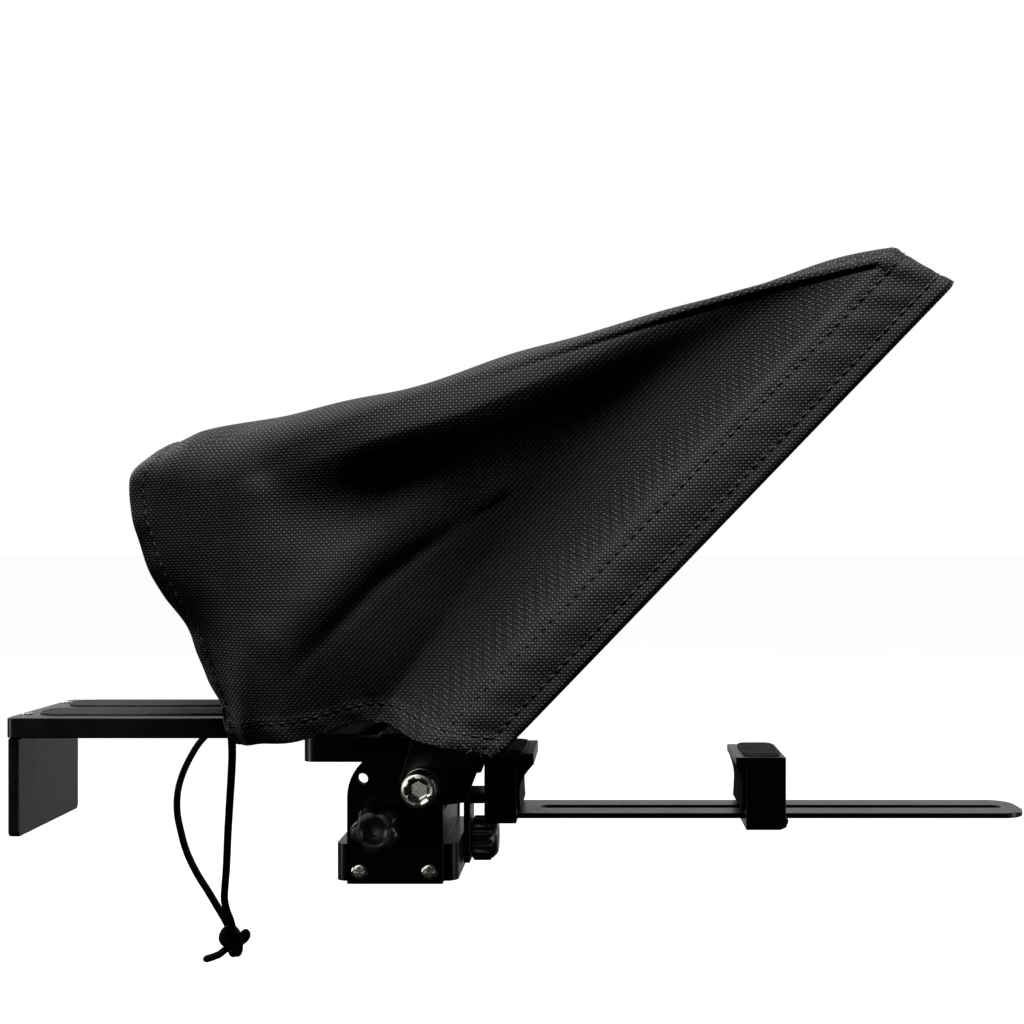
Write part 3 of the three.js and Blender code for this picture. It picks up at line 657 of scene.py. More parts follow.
def main_fold(x, z):
    """The panel stands out above the fold's line and drops in below it, and eases towards the roof."""
    share, away = line_field(x, z, MAIN_FOLD)
    towards_roof = 1 - np.clip((away - 8) / 34, 0, 0.85)
    return knots(MAIN_FOLD_DROP, share) * step_up(away, 8.5 * knots(MAIN_FOLD_WIDTH, share)) * towards_roof


def slant_crease(x, z, behind):
    """A ridge above the crease, its narrow furrow, and the lower panel that leans in beyond it."""
    share, away = line_field(x, z, SLANT_CREASE)
    depth = knots(SLANT_CREASE_DEPTH, share)
    ridge = 3.4 * depth * bell(away - 10, 9)
    furrow = 1.3 * depth * bell(away + 1, 2.6)
    lean = 0.22 * np.clip(112 - z, 0, 50) * step_up(-30 - away, 12) * np.clip((behind - 18) / 26, 0, 1)
    return ridge - furrow - lean


def rear_swell(x, z):
    """The rear of the panel: a broad swell, a ridge, a dimple by the top corner and a flared hem."""
    swell = 3.8 * bell(x + 27, 20) * np.where(z > 117, bell(z - 117, 17), 1.0)
    ridge = 2.4 * bell(line_field(x, z, REAR_RIDGE)[1], 7)
    dimple = 1.8 * bell(np.hypot(x + 74, (z - 138) * 0.55), 9)
    flare = 5 * bell(x + 36, 13) * np.clip((100 - z) / 42, 0, 1)
    return swell + ridge - dimple + flare


def band_trough(along, behind):
    """The hollow that the stretched band leaves behind it, steep towards the band."""
    off = behind - TROUGH_BEHIND
    shape = np.where(off < 0, bell(off, 11), bell(off, knots(TROUGH_REACH, along)))
    return knots(TROUGH_DEPTH, along) * shape


def ripples(along, behind):
    slow = 0.7 * np.sin(behind / 9.5 + 0.6 * np.sin(along / 31))
    return np.clip((behind - 20) / 30, 0, 1) * (slow + 0.45 * np.sin(along / 13 + behind / 21))


def folds(x, z):
    """How far a side panel stands outwards of its plain shape, in millimetres."""
    along, behind = to_glass(x, z)
    return (main_fold(x, z) + slant_crease(x, z, behind) + rear_swell(x, z) - band_trough(along, behind)
            + ripples(along, behind))


BEND_SHARES = np.linspace(0, 1, 101)
REAR_EASE = 0.13  # share of the hood's length over which the rear edge's bend dies out


def rear_bend():
    """How far the rear edge lies forwards of a straight line, at shares of its height."""
    (low_z, low_x), (top_z, top_x) = REAR_EDGE[0], REAR_EDGE[-1]
    return knots(REAR_EDGE, low_z + (top_z - low_z) * BEND_SHARES) - (low_x + (top_x - low_x) * BEND_SHARES)


def hood_columns():
    """Each column: low point, top point, half width, corner radius, crown, share, band share, inset."""
    columns = []
    for i in range(BACK_STEPS + 1):
        v = i / BACK_STEPS
        low_x = LOW_REAR + (from_glass(-16, BAND_DEPTH)[0] - LOW_REAR) * v
        columns.append(dict(
            low=(low_x, float(knots(LOW_HEM, low_x))),
            top=(float(knots(TOP_X, v)), float(knots(TOP_Z, v))),
            half=float(knots(HALF, v)), corner=float(knots(CORNER, v)), crown=float(knots(CROWN, v)),
            v=v, band=0.0, inset=0.0))
    back = columns[-1]
    front_top = from_glass(210, 0)
    front_low = (FRONT_EDGE[0], 55.8)
    for i in range(1, BAND_STEPS + 1):
        w = i / BAND_STEPS
        columns.append(dict(
            low=(back["low"][0] + (front_low[0] - back["low"][0]) * w,
                 float(knots(LOW_HEM, back["low"][0] + (front_low[0] - back["low"][0]) * w))),
            top=(back["top"][0] + (front_top[0] - back["top"][0]) * w,
                 back["top"][1] + (front_top[1] - back["top"][1]) * w),
            half=back["half"] + (HOOD_HALF_FRONT - back["half"]) * w, corner=6.0, crown=0.0, v=1.0, band=w,
            inset=0.0))
    front = columns[-1]
    for inset in FLANGE[1:]:
        columns.append(dict(front, inset=inset))
    return columns


def section_rows(column, length):
    """For each row of a column: the distance up it, its Y, and its turn from side panel (0) to roof."""
    half = column["half"] - column["inset"]
    radius = column["corner"]
    reach = length - radius - column["inset"]
    near = []
    for k in range(SIDE_STEPS):
        share = k / SIDE_STEPS
        share -= ROW_CROWDING * math.sin(2 * math.pi * share)
        near.append((reach * share, half, 0.0))
    for k in range(CORNER_STEPS):
        turn = (k / CORNER_STEPS) * math.pi / 2
        near.append((reach + radius * math.sin(turn), half - radius * (1 - math.cos(turn)), turn))
    across = half - radius
    roof = length - column["inset"]
    section = [(a, -y, turn) for a, y, turn in near]
    section += [(roof, -across + 2 * across * k / TOP_STEPS, math.pi / 2) for k in range(TOP_STEPS + 1)]
    section += near[::-1]
    return section


def hood_grid():
    """The hood's columns, the points of its sheet, and their weave coordinates on the sides and roof."""
    columns = hood_columns()
    grid = np.zeros((len(columns), SECTION_ROWS, 3))
    weave = np.zeros((2, len(columns), SECTION_ROWS, 2))
    rear_edge = rear_bend()
    top_run = 0.0
    previous = None
    for i, c in enumerate(columns):
        low, top = np.array(c["low"]), np.array(c["top"])
        length = float(np.linalg.norm(top - low))
        half = c["half"] - c["inset"]
        up = (top - low) / length
        bend = rear_edge * math.exp(-c["v"] / REAR_EASE)
        if previous is not None:
            top_run += float(np.linalg.norm(top - previous))
        previous = top
        for j, (a, y, turn) in enumerate(section_rows(c, length)):
            t = a / length
            x, z = low + up * a
            x += float(np.interp(t, BEND_SHARES, bend)) - FRONT_SLACK * (1 - t) * c["v"] ** 2
            arch = c["crown"] * (1 - (abs(y) / half) ** 2) * (1 if turn > 0 else 0)
            z += arch
            grid[i, j] = (x, y, z)
            weave[0, i, j] = to_glass(x, z)
            weave[1, i, j] = (y, top_run)
    return columns, grid, weave


def row_places():
    """For each row of the sheet: its side (-1 or 1) and how much of it is side panel (1) or top (0)."""
    side = np.zeros(SECTION_ROWS)
    weight = np.zeros(SECTION_ROWS)
    for j in range(SECTION_ROWS):
        k = min(j, SECTION_ROWS - 1 - j)
        side[j] = -1 if j < SECTION_ROWS / 2 else 1
        if k < SIDE_STEPS:
            weight[j] = 1.0
        elif k < SIDE_STEPS + CORNER_STEPS:
            weight[j] = math.cos((k - SIDE_STEPS) / CORNER_STEPS * math.pi / 2) ** 2
    return side, weight


def column_values(columns, name):
    """One value of every column, in an array that spreads over the rows."""
    return np.array([c[name] for c in columns])[:, None]


def shaped_hood():
    """The hood's columns, points and weave coordinates, with its folds, its sagging roof and its hems."""
    columns, grid, weave = hood_grid()
    side, weight = row_places()
    x, y, z = grid[..., 0], grid[..., 1], grid[..., 2]
    band = column_values(columns, "band")
    inset = column_values(columns, "inset")
    v = column_values(columns, "v")
    free = (1 - np.clip(band * 2.2, 0, 1)) * (inset <= 0)
    shift = np.where(side[None, :] < 0, folds(x, z), 0.8 * folds(x + 7, z + 4))
    calm_top = 1 - np.clip((v - 0.75) / 0.25, 0, 1) * 0.6
    grid[..., 1] = y + side[None, :] * shift * weight[None, :] * free * calm_top
    roof = 1 - weight[None, :]
    sag = 1.6 * np.sin(x / 17 + y / 40) + 1.2 * np.sin(y / 13 + x / 60) + 0.8 * np.sin(x / 9 - y / 22)
    ease = np.clip(v / 0.12, 0, 1) * (1 - band) * (inset <= 0)
    grid[..., 2] += roof * sag * ease * 0.8 - roof * 2.5 * np.exp(-((v - 0.55) / 0.3) ** 2) * (1 - band)
    layered(columns, grid)
    return columns, grid, weave


def normals_of(grid):
    along = np.gradient(grid, axis=0)
    round_ = np.gradient(grid, axis=1)
    n = np.cross(along, round_)
    n /= np.maximum(np.linalg.norm(n, axis=2, keepdims=True), 1e-9)
    middle = grid.mean(axis=(0, 1))
    if np.sum(n * (grid - middle)) < 0:
        n = -n
    return n


STITCH_ROWS = {"band_front": 5.0, "band_back": 17.0}
LOW_HEM_DEPTH = 8.0
REAR_HEM_DEPTH = 8.5
STITCH_INSET = 1.0  # from a hem's inner edge to its stitches
HEM_PROUD = 0.6
BAND_PROUD = 0.7


def hem_relief(from_edge, depth):
    """How far a folded hem of this depth stands proud, with the groove of its stitches."""
    proud = HEM_PROUD * np.clip((depth + 1 - from_edge) / 1.2, 0, 1)
    return proud - 0.4 * bell(from_edge - (depth - STITCH_INSET), 1.2)


def layered(columns, grid):
    """Hems and the front band are folded double: they stand proud, and pull in along their stitches."""
    n = normals_of(grid)
    band = column_values(columns, "band") * BAND_DEPTH
    behind_front = BAND_DEPTH - band
    inset = column_values(columns, "inset")
    v = column_values(columns, "v")
    proud = np.where((band > 0) | (inset > 0), np.clip(band / 1.6, 0, 1), 0) * BAND_PROUD
    for depth in STITCH_ROWS.values():
        proud = proud - 0.45 * bell(behind_front - depth, 1.3) * (band > 0) * (inset <= 0)
    run = running_length(grid, axis=1)
    from_hem = np.minimum(run, run[:, -1:] - run)
    from_rear = running_length(grid)
    proud = proud + hem_relief(from_hem, LOW_HEM_DEPTH) + hem_relief(from_rear, REAR_HEM_DEPTH)
    near_ridge = np.abs(run - run[:, SIDE_STEPS:SIDE_STEPS + 1])
    far_ridge = np.abs(run - run[:, -SIDE_STEPS - 1:-SIDE_STEPS])
    from_ridge = np.minimum(near_ridge, far_ridge)
    welted = np.clip((v - 0.55) / 0.3, 0, 1) * np.clip(1 - band / 9, 0, 1) * (inset <= 0)
    proud = proud + welted * (0.7 * bell(from_ridge - 0.8, 1.5) - 0.5 * bell(from_ridge - 3.6, 0.9))
    pucker = 0.22 * np.sin(run / 2.1 + 1.3 * np.sin(run / 17))
    proud = proud + pucker * (bell(behind_front - 11, 9) * (band > 0) * (inset <= 0))
    proud = proud + 0.25 * np.sin(from_rear / 2.3) * bell(from_hem - 4, 5)
    proud = proud + 0.3 * np.sin(run / 2.6) * bell(from_rear - 4, 5)
    grid += n * proud[..., None]


def make_hood():
    """The cloth. Its sides take their weave coordinates from the side panels, its roof from the roof."""
    columns, grid, weave = shaped_hood()
    count, rows = grid.shape[:2]
    faces = []
    for i in range(count - 1):
        for j in range(rows - 1):
            low, high = i * rows + j, (i + 1) * rows + j
            faces.append((low, high, high + 1, low + 1))
    mesh = bpy.data.meshes.new("hood_cloth")
    mesh.from_pydata((grid.reshape(-1, 3) * MM).tolist(), [], faces)
    layer = mesh.uv_layers.new(name="weave")
    vertex = np.zeros(len(mesh.loops), np.int32)
    mesh.loops.foreach_get("vertex_index", vertex)
    strip = np.repeat(np.arange(len(faces)) % (rows - 1), 4)
    seam = SIDE_STEPS + CORNER_STEPS // 2
    is_roof = (strip >= seam) & (strip < rows - 1 - seam)
    flat = weave.reshape(2, -1, 2) * MM
    uvs = np.where(is_roof[:, None], flat[1][vertex], flat[0][vertex]).astype(np.float32)
    layer.data.foreach_set("uv", uvs.reshape(-1))
    mesh.polygons.foreach_set("use_smooth", [True] * len(mesh.polygons))
    piece = linked("hood_cloth", mesh, CLOTH)
    work = bmesh.new()
    work.from_mesh(mesh)
    bmesh.ops.recalc_face_normals(work, faces=work.faces)
    inside = Vector((0.03, 0, 0.12))
    if sum(f.normal.dot(f.calc_center_median() - inside) for f in work.faces) < 0:
        bmesh.ops.reverse_faces(work, faces=work.faces)
    work.to_mesh(mesh)
    work.free()
    thick = piece.modifiers.new("cloth", "SOLIDIFY")
    thick.thickness = CLOTH_THICK * MM
    thick.offset = -1.0
    baked_modifiers(piece)
    stands_for(piece, "hood_cloth", "hood")
    return piece, grid


def at_length(length, lengths, values):
    """The point or normal at a length along a line, out of those at the line's own lengths."""
    return np.array([np.interp(length, lengths, values[:, k]) for k in range(3)])


def seam(strips, depth):
    """Points and normals at a depth in from the edge. Each strip runs inwards from the edge."""
    points, normals = [], []
    for strip, strip_normals in strips:
        lengths = running_length(strip)
        points.append(at_length(depth, lengths, strip))
        normals.append(at_length(depth, lengths, strip_normals))
    return np.array(points), np.array(normals)


# A dash of thread: share of its length, scale of its radius, lift above the cloth in millimetres.
DASH_PROFILE = [(0.0, 0.15, -0.3), (0.12, 0.75, 0.02), (0.5, 1.0, 0.14), (0.88, 0.75, 0.02),
                (1.0, 0.15, -0.3)]
DASH_SIDES = 6


def stitch_line(places, normals, pitch=3.8, dash=3.0, radius=0.34):
    """Dashes of thread laid along a line of points, in millimetres."""
    lengths = running_length(places)
    points, faces = [], []
    start = pitch / 2
    while start + dash < lengths[-1]:
        first = len(points)
        for share, scale, lift in DASH_PROFILE:
            length = start + dash * share
            centre = at_length(length, lengths, places)
            direction = at_length(length + 0.5, lengths, places) - centre
            direction /= max(np.linalg.norm(direction), 1e-9)
            out = at_length(length, lengths, normals)
            out /= np.linalg.norm(out)
            wide = np.cross(direction, out)
            for i in range(DASH_SIDES):
                turn = 2 * math.pi * i / DASH_SIDES
                points.append(centre + out * (lift + 0.7 * radius * scale * math.sin(turn))
                              + wide * radius * scale * math.cos(turn))
        faces += ring_faces(first, len(DASH_PROFILE), DASH_SIDES)
        for k in (0, len(DASH_PROFILE) - 1):
            faces.append(tuple(first + k * DASH_SIDES + i for i in range(DASH_SIDES)))
        start += pitch
    return points, faces


def make_stitches(grid):
    n = normals_of(grid)
    lines = []
    for depth in STITCH_ROWS.values():
        w = BACK_STEPS + BAND_STEPS * (1 - depth / BAND_DEPTH)
        i, share = int(w), w - int(w)
        lines.append((grid[i] * (1 - share) + grid[i + 1] * share, n[i] * (1 - share) + n[i + 1] * share))
    columns = range(2, BACK_STEPS + BAND_STEPS)
    rows = range(3, SECTION_ROWS - 3)
    lines.append(seam([(grid[i], n[i]) for i in columns], LOW_HEM_DEPTH - STITCH_INSET))
    lines.append(seam([(grid[i, ::-1], n[i, ::-1]) for i in columns], LOW_HEM_DEPTH - STITCH_INSET))
    lines.append(seam([(grid[:, j], n[:, j]) for j in rows], REAR_HEM_DEPTH - STITCH_INSET))
    points, faces = [], []
    for places, normals in lines:
        more_points, more_faces = stitch_line(places, normals)
        shift = len(points)
        points += more_points
        faces += [tuple(k + shift for k in face) for face in more_faces]
    piece = mesh_piece("hood_stitching", [tuple(p * MM) for p in points], faces, THREAD, 60)
    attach(piece, "glass_mount")
    return piece


def make_frayed_ends(grid):
    """Loose thread ends at the bottom corners of the front band."""
    draw = random.Random(11)
    edge = grid[BACK_STEPS:BACK_STEPS + BAND_STEPS + 1]
    routes = []
    for row, side in ((0, -1), (-1, 1)):
        for _ in range(16):
            at = draw.uniform(0.25, 1) * BAND_STEPS
            i = min(int(at), BAND_STEPS - 1)
            foot = edge[i, row] * (1 - at + i) + edge[i + 1, row] * (at - i)
            foot = Vector(foot) * MM + Vector((0, side * 0.0004, draw.uniform(0.0002, 0.004)))
            lean = Vector((draw.uniform(-0.8, 0.9), side * draw.uniform(0.15, 0.6), draw.uniform(-1, 0.1)))
            curl = Vector((draw.uniform(-1, 1), side * draw.uniform(0, 0.4), draw.uniform(-0.6, 0.6)))
            reach = draw.uniform(0.0010, 0.0026)
            steps = [foot - lean * 0.0006, foot, foot + lean * reach * 0.5 + curl * 0.0005,
                     foot + lean * reach + curl * 0.0013]
            routes.append(catmull([tuple(q) for q in steps], 3))
    piece = cord_tube("hood_frayed_ends", routes, 0.00013, THREAD, sides=5)
    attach(piece, "glass_mount")
    return piece


hood, hood_points = make_hood()
stitching = make_stitches(hood_points)
frayed = make_frayed_ends(hood_points)


# ------------------------------------------------------------------ fasteners and knobs

def box_centre(node):
    low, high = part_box(node)
    return (low + high) / 2, high - low


def screw_head(node, axis, recess=0.6):
    """A screw head with a cross recess, whose outer face looks along the axis."""
    centre, size = box_centre(node)
    a = Vector(axis)
    depth = abs(size.dot(a))
    radius = max(size) / 2
    arm, half = radius * 0.66, radius * 0.18
    rings = [
        (0.0, radius * 0.96), (depth * 0.15, radius), (depth * 0.62, radius), (depth * 0.84, radius * 0.93),
        (depth * 0.96, radius * 0.8), (depth, radius * 0.7), (depth, cross_shape(arm, half)),
        (depth * (1 - recess), cross_shape(arm * 0.72, half * 0.75)),
    ]
    piece = turned(f"{node}_finished", centre - a * depth / 2, axis, rings, STEEL, steps=80)
    return stands_for(piece, "steel_fasteners", node)


def make_screws():
    for side, name in ((-1, "near"), (1, "far")):
        for place in ("rear", "front"):
            screw_head(f"{name}_cheek_screw_{place}", (0, side, 0))
        screw_head(f"end_plate_screw_{name}", (0, 0, 1))
    for place in ("rear", "front"):
        screw_head(f"strap_screw_{place}", (0, 0, -1))


def make_tilt_screw():
    low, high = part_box("tilt_screw")
    centre = Vector(((low.x + high.x) / 2, high.y, (low.z + high.z) / 2))
    length = high.y - low.y
    head = 0.008
    r = (high.x - low.x) / 2
    shaft = 0.004
    knurl = rippled(r, 0.00024, 44)
    socket = hexagon(0.0034)
    rings = [
        (0.0, shaft * 0.8), (0.0006, shaft), (length - head - 0.0002, shaft), (length - head, r * 0.9),
        (length - head + 0.0004, r * 0.985), (length - head + 0.0009, knurl), (length - 0.0022, knurl),
        (length - 0.0017, r * 0.985), (length - 0.0006, r * 0.97), (length - 0.0001, r * 0.9),
        (length, r * 0.84), (length, 0.0043), (length - 0.0005, hexagon(0.0038)), (length - 0.0006, socket),
        (length - 0.0030, socket),
    ]
    piece = turned("tilt_screw_finished", centre, (0, -1, 0), rings, STEEL, steps=176, sharp=30)
    stands_for(piece, "steel_fasteners", "tilt_screw")
    floor = centre + Vector((0, -(length - 0.0028), 0))
    rings = [(0.0, hexagon(0.00345)), (0.0004, 0.003)]
    sink = turned("tilt_screw_socket_floor", floor, (0, 1, 0), rings, STEEL)
    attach(sink, frame["nodes"]["tilt_screw"]["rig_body"])


def make_ring(node, outer, inner, material, slot, chamfer=0.0004, steps=96):
    low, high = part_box(node)
    centre = Vector(((low.x + high.x) / 2, low.y, (low.z + high.z) / 2))
    depth = high.y - low.y
    outer_low = outer(-chamfer) if callable(outer) else outer - chamfer
    outer_full = outer(0.0) if callable(outer) else outer
    rings = [
        (0.0, inner + chamfer), (0.0, outer_low),
        (chamfer * 0.3, outer_full), (depth - chamfer * 0.3, outer_full),
        (depth, outer_low), (depth, inner + chamfer), (depth - chamfer, inner), (chamfer, inner),
    ]
    piece = turned(f"{node}_finished", centre, (0, 1, 0), rings, material, steps=steps, hollow=True)
    return stands_for(piece, slot, node)


KNOB_DEPTH = 0.010  # of the grip that both knobs have at the end of their stems


def make_lock_knob():
    low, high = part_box("lock_knob")
    centre = Vector((-0.0057, high.y, 0.0216))
    length = high.y - low.y
    r = 0.0089

    def lobes(scale, soften=1.0):
        return lobed(r * scale, 0.0015 * soften, 5, 0.9)

    back = length - KNOB_DEPTH
    rings = [
        (0.0, 0.0027), (0.0004, 0.003), (back - 0.001, 0.003), (back - 0.001, 0.005), (back, 0.005),
        (back, lobes(0.86, 0.9)), (back + 0.0004, lobes(0.95)), (back + 0.0012, lobes(1.0)),
        (back + 0.0045, lobes(1.0)), (back + 0.0078, lobes(0.985)), (back + 0.0090, lobes(0.94)),
        (back + 0.0097, lobes(0.86, 0.8)), (back + 0.0100, lobes(0.74, 0.5)), (back + 0.0099, 0.0048),
        (back + 0.0092, 0.0042), (back + 0.0089, 0.0024), (back + 0.0087, 0.002), (back + 0.0072, 0.002),
        (back + 0.0071, 0.0008),
    ]
    piece = turned("lock_knob_finished", centre, (0, -1, 0), rings, PLASTIC, steps=160, sharp=45)
    stands_for(piece, "black_plastic", "lock_knob")


def make_clamp_knob():
    low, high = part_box("clamp_knob")
    r = (high.y - low.y) / 2
    back = high.x - low.x - KNOB_DEPTH
    grip = rippled(r, 0.0009, 18)
    rings = [
        (0.0, 0.0018), (0.0003, 0.0021), (back, 0.0021), (back, r * 0.86), (back + 0.0004, r * 0.91),
        (back + 0.0008, grip), (back + 0.0070, grip), (back + 0.0076, r * 0.9), (back + 0.0082, r * 0.87),
        (back + 0.0096, r * 0.7), (back + 0.0100, r * 0.6), (back + 0.0098, r * 0.42),
        (back + 0.0095, r * 0.1),
    ]
    centre = (low.x, 0, 0.0105)
    piece = turned("clamp_knob_finished", centre, (1, 0, 0), rings, PLASTIC, steps=144, sharp=40)
    stands_for(piece, "black_plastic", "clamp_knob")


make_screws()
make_tilt_screw()
make_ring("tilt_washer", 0.0065, 0.00425, STEEL, "steel_fasteners")
make_ring("tilt_nut", lambda off: hexagon(0.0074 + off), 0.00425, STEEL, "steel_fasteners", steps=120)
make_ring("pivot_sleeve", 0.006, 0.00425, METAL, "black_metal")
make_lock_knob()
make_clamp_knob()


# ------------------------------------------------------------------ rubber pieces

def rounded_limit(x, y, half_x, half_y, radius):
    """Moves a point that lies outside a rounded rectangle's corner on to the corner's arc."""
    cx, cy = half_x - radius, half_y - radius
    ox, oy = abs(x) - cx, abs(y) - cy
    if ox > 0 and oy > 0:
        away = math.hypot(ox, oy)
        if away > radius:
            x = math.copysign(cx + ox * radius / away, x)
            y = math.copysign(cy + oy * radius / away, y)
    return x, y


def pad_piece(node, relief, counts, radius, sink):
    """A rubber pad whose top face follows relief(x, y), 0 to 1, and lies up to sink below the CAD top."""
    low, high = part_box(node)
    centre = (low + high) / 2
    half_x, half_y = (high.x - low.x) / 2, (high.y - low.y) / 2
    nx, ny = counts
    rim = 0.0005
    levels = [(0.0, 0.0), (high.z - low.z - rim, 0.0), (high.z - low.z - rim * 0.4, rim * 0.25)]
    points, faces = [], []

    def spot(i, j, shrink):
        x = (2 * i / nx - 1) * (half_x - shrink)
        y = (2 * j / ny - 1) * (half_y - shrink)
        return rounded_limit(x, y, half_x - shrink, half_y - shrink, max(radius - shrink, 0.0003))

    border = [(i, 0) for i in range(nx)] + [(nx, j) for j in range(ny)]
    border += [(nx - i, ny) for i in range(nx)] + [(0, ny - j) for j in range(ny)]
    for height, shrink in levels:
        for i, j in border:
            x, y = spot(i, j, shrink)
            points.append((centre.x + x, centre.y + y, low.z + height))
    top_first = len(points)
    for i in range(nx + 1):
        for j in range(ny + 1):
            x, y = spot(i, j, rim)
            edge = i in (0, nx) or j in (0, ny)
            height = high.z - (0.0 if edge else sink * (1 - relief(x, y)))
            points.append((centre.x + x, centre.y + y, height))
    size = len(border)
    faces += ring_faces(0, len(levels), size)
    last = (len(levels) - 1) * size

    def top_index(i, j):
        return top_first + i * (ny + 1) + j

    for b in range(size):
        c = (b + 1) % size
        faces.append((last + b, last + c, top_index(*border[c]), top_index(*border[b])))
    for i in range(nx):
        for j in range(ny):
            low_side, high_side = top_index(i, j), top_index(i + 1, j)
            faces.append((low_side, high_side, high_side + 1, low_side + 1))
    faces.append(tuple(range(size))[::-1])
    piece = mesh_piece(f"{node}_finished", points, faces, RUBBER, 50)
    stands_for(piece, "rubber", node)


def cross_ribs(pitch):
    return lambda x, y: 0.5 + 0.5 * math.cos(2 * math.pi * x / pitch)


def diamond_knurl(pitch):
    def relief(x, y):
        a = abs(math.sin(math.pi * (x + y) / pitch))
        b = abs(math.sin(math.pi * (x - y) / pitch))
        return min(a, b)
    return relief


def make_pads():
    for name in ("near", "far"):
        low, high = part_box(f"{name}_rail_strip")
        end_radius = (high.y - low.y) / 2
        pad_piece(f"{name}_rail_strip", cross_ribs(0.0017), (344, 10), end_radius, 0.00045)
    for name in ("rear", "front"):
        pad_piece(f"{name}_plate_pad", cross_ribs(0.0021), (48, 16), 0.003, 0.00035)
    for name in ("fixed", "sliding"):
        pad_piece(f"{name}_jaw_pad", diamond_knurl(0.0014), (56, 84), 0.004, 0.0003)


LINER_RIB_PITCH = 0.0018
LINER_WALL = 0.00075


def make_liners():
    """Ribbed liners, whose wall curls out to a lip along the top."""
    for name in ("fixed", "sliding"):
        node = f"{name}_jaw_liner"
        low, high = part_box(node)
        inwards = 1 if name == "fixed" else -1
        wall = low.x if inwards > 0 else high.x
        depth = high.x - low.x
        steps_y, steps_z = 120, 16
        points = []
        for j in range(steps_y + 1):
            y = low.y + (high.y - low.y) * j / steps_y
            ridge = 0.5 + 0.5 * math.cos(2 * math.pi * (y - low.y) / LINER_RIB_PITCH)
            for k in range(steps_z + 1):
                t = k / steps_z
                z = low.z + (high.z - low.z) * t
                lip = (depth - LINER_WALL) * max(0.0, (t - 0.45) / 0.55) ** 1.8
                reach = LINER_WALL + lip + 0.0005 * (1 - t) ** 3
                reach = max(0.0003, min(reach, depth) - 0.0004 * (1 - ridge))
                points.append((wall + inwards * reach, y, z))
            points.append((wall, y, high.z))
            points.append((wall, y, low.z))
        row = steps_z + 3
        faces = ring_faces(0, steps_y + 1, row)
        faces.append(tuple(range(row)))
        faces.append(tuple(steps_y * row + k for k in range(row)))
        piece = mesh_piece(f"{node}_finished", points, faces, RUBBER, 50)
        stands_for(piece, "rubber", node)


make_pads()
make_liners()


# ------------------------------------------------------------------ machined and moulded pieces

# How far the edges of the CAD shapes are broken, in millimetres.
METAL_EDGES = {
    "base_block": 0.5, "near_cheek": 0.6, "far_cheek": 0.4, "camera_plate": 0.6, "camera_rail": 0.5,
    "joining_strap": 0.4, "end_plate": 0.6, "near_tilt_arm": 0.4, "far_tilt_arm": 0.4, "phone_arm": 0.4,
    "slotted_bar": 0.3, "fixed_jaw": 0.6, "sliding_jaw": 0.7,
}
PLASTIC_EDGES = {
    "frame_bottom_bar": 0.8, "frame_top_bar": 0.8, "frame_near_bar": 0.8, "frame_far_bar": 0.8,
    "glass_clip_lower_near": 0.3, "glass_clip_lower_far": 0.3, "glass_clip_upper_near": 0.3,
    "glass_clip_upper_far": 0.3,
}
GLASS_EDGES = {"beam_splitter_glass": 0.3}
for edges, finish, slot_name in ((METAL_EDGES, METAL, "black_metal"),
                                 (PLASTIC_EDGES, PLASTIC, "black_plastic"),
                                 (GLASS_EDGES, GLASS, "coated_glass")):
    for node, edge in edges.items():
        eased(node, edge * MM, finish, slot_name)


# ------------------------------------------------------------------ studio

def make_floor():
    """A pale floor that the camera sees, and that throws no light on the prompter."""
    half = 60.0
    height = -0.16
    points = [(-half, -half, height), (half, -half, height), (half, half, height), (-half, half, height)]
    floor = mesh_piece("floor", points, [(0, 1, 2, 3)], pale_floor())
    floor.visible_diffuse = False
    floor.visible_glossy = False


# Tones of the room's light, from low in front of the prompter to high behind it.
WORLD_TONES = [(0.12, grey(0.004)), (0.5, grey(0.024)), (0.64, grey(0.52)), (0.95, grey(1.3))]


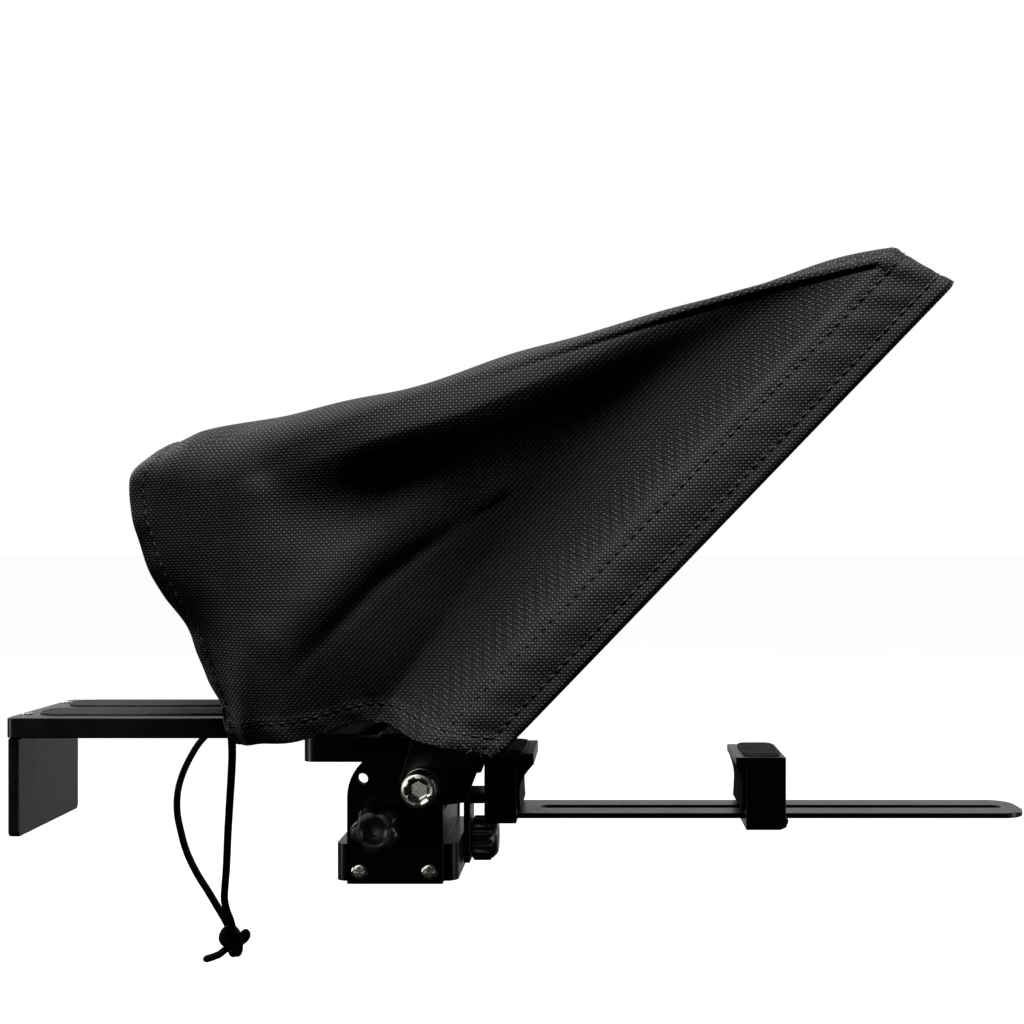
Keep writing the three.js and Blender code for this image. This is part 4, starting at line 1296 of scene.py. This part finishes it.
def make_world():
    """A room that grows lighter upwards and backwards, and that the camera sees as white."""
    world = bpy.data.worlds.new("studio")
    bpy.context.scene.world = world
    world.use_nodes = True
    world.node_tree.nodes.clear()
    n = Tree(world.node_tree)
    generated = n.add("ShaderNodeTexCoord").outputs["Generated"]
    direction = n.add("ShaderNodeSeparateXYZ", {"Vector": generated})
    up = n.math("MULTIPLY", direction.outputs["Z"], 0.34)
    up_and_back = n.math("MULTIPLY_ADD", direction.outputs["Y"], 0.30, up)
    tone = n.ramp(n.math("ADD", up_and_back, 0.42), *WORLD_TONES)
    light = n.add("ShaderNodeBackground", {"Color": tone, "Strength": 0.75}).outputs[0]
    white = n.add("ShaderNodeBackground", {"Color": (1, 1, 1, 1)}).outputs[0]
    seen = n.add("ShaderNodeLightPath").outputs["Is Camera Ray"]
    mixed = n.add("ShaderNodeMixShader", {0: seen, 1: light, 2: white}).outputs[0]
    n.add("ShaderNodeOutputWorld", {"Surface": mixed})


def area_light(name, place, target, size, watts):
    data = bpy.data.lights.new(name, "AREA")
    data.shape = "RECTANGLE"
    data.size, data.size_y = size
    data.energy = watts
    lamp = bpy.data.objects.new(name, data)
    lamp.location = place
    lamp.rotation_euler = (Vector(target) - Vector(place)).to_track_quat("-Z", "Y").to_euler()
    lamp.visible_camera = False
    bpy.context.scene.collection.objects.link(lamp)
    return lamp


def lit_only(lamp, *materials, ending=""):
    """The lamp shines on the pieces of these materials alone, whose names have this ending."""
    group = bpy.data.collections.new(f"lit_by_{lamp.name}")
    for piece in bpy.data.objects:
        if piece.type == "MESH" and piece.name.endswith(ending):
            if piece.data.materials[0] in materials:
                group.objects.link(piece)
    lamp.light_linking.receiver_collection = group


make_floor()
make_world()
area_light("overhead", (0.0, -0.36, 1.2), (0.0, 0, 0.1), (0.5, 0.45), 24.0)
area_light("right", (1.15, 0.55, 0.3), (0.03, 0, 0.05), (0.4, 0.5), 4.0)
area_light("rear_left", (-1.0, 0.8, 0.6), (-0.05, 0, 0.08), (0.6, 0.6), 6.0)
card = area_light("front_card", (-0.40, -1.1, 0.12), (0.0, 0, 0.04), (0.5, 0.5), 1.6)
pad_lamp = area_light("pad_lamp", (-0.25, -1.0, 0.45), (0.0, 0, 0.04), (0.3, 0.3), 9.0)
left_strip = area_light("left_strip", (-1.1, -0.45, 0.02), (0.0, 0, 0.04), (0.12, 0.5), 2.4)
right_strip = area_light("right_strip", (1.2, -0.45, 0.02), (0.0, 0, 0.04), (0.12, 0.5), 2.0)
lit_only(card, STEEL, PLASTIC)
lit_only(pad_lamp, RUBBER, ending="pad_finished")
lit_only(left_strip, STEEL, PLASTIC, METAL)
lit_only(right_strip, STEEL, PLASTIC, METAL)
bpy.context.scene.view_settings.view_transform = "Standard"
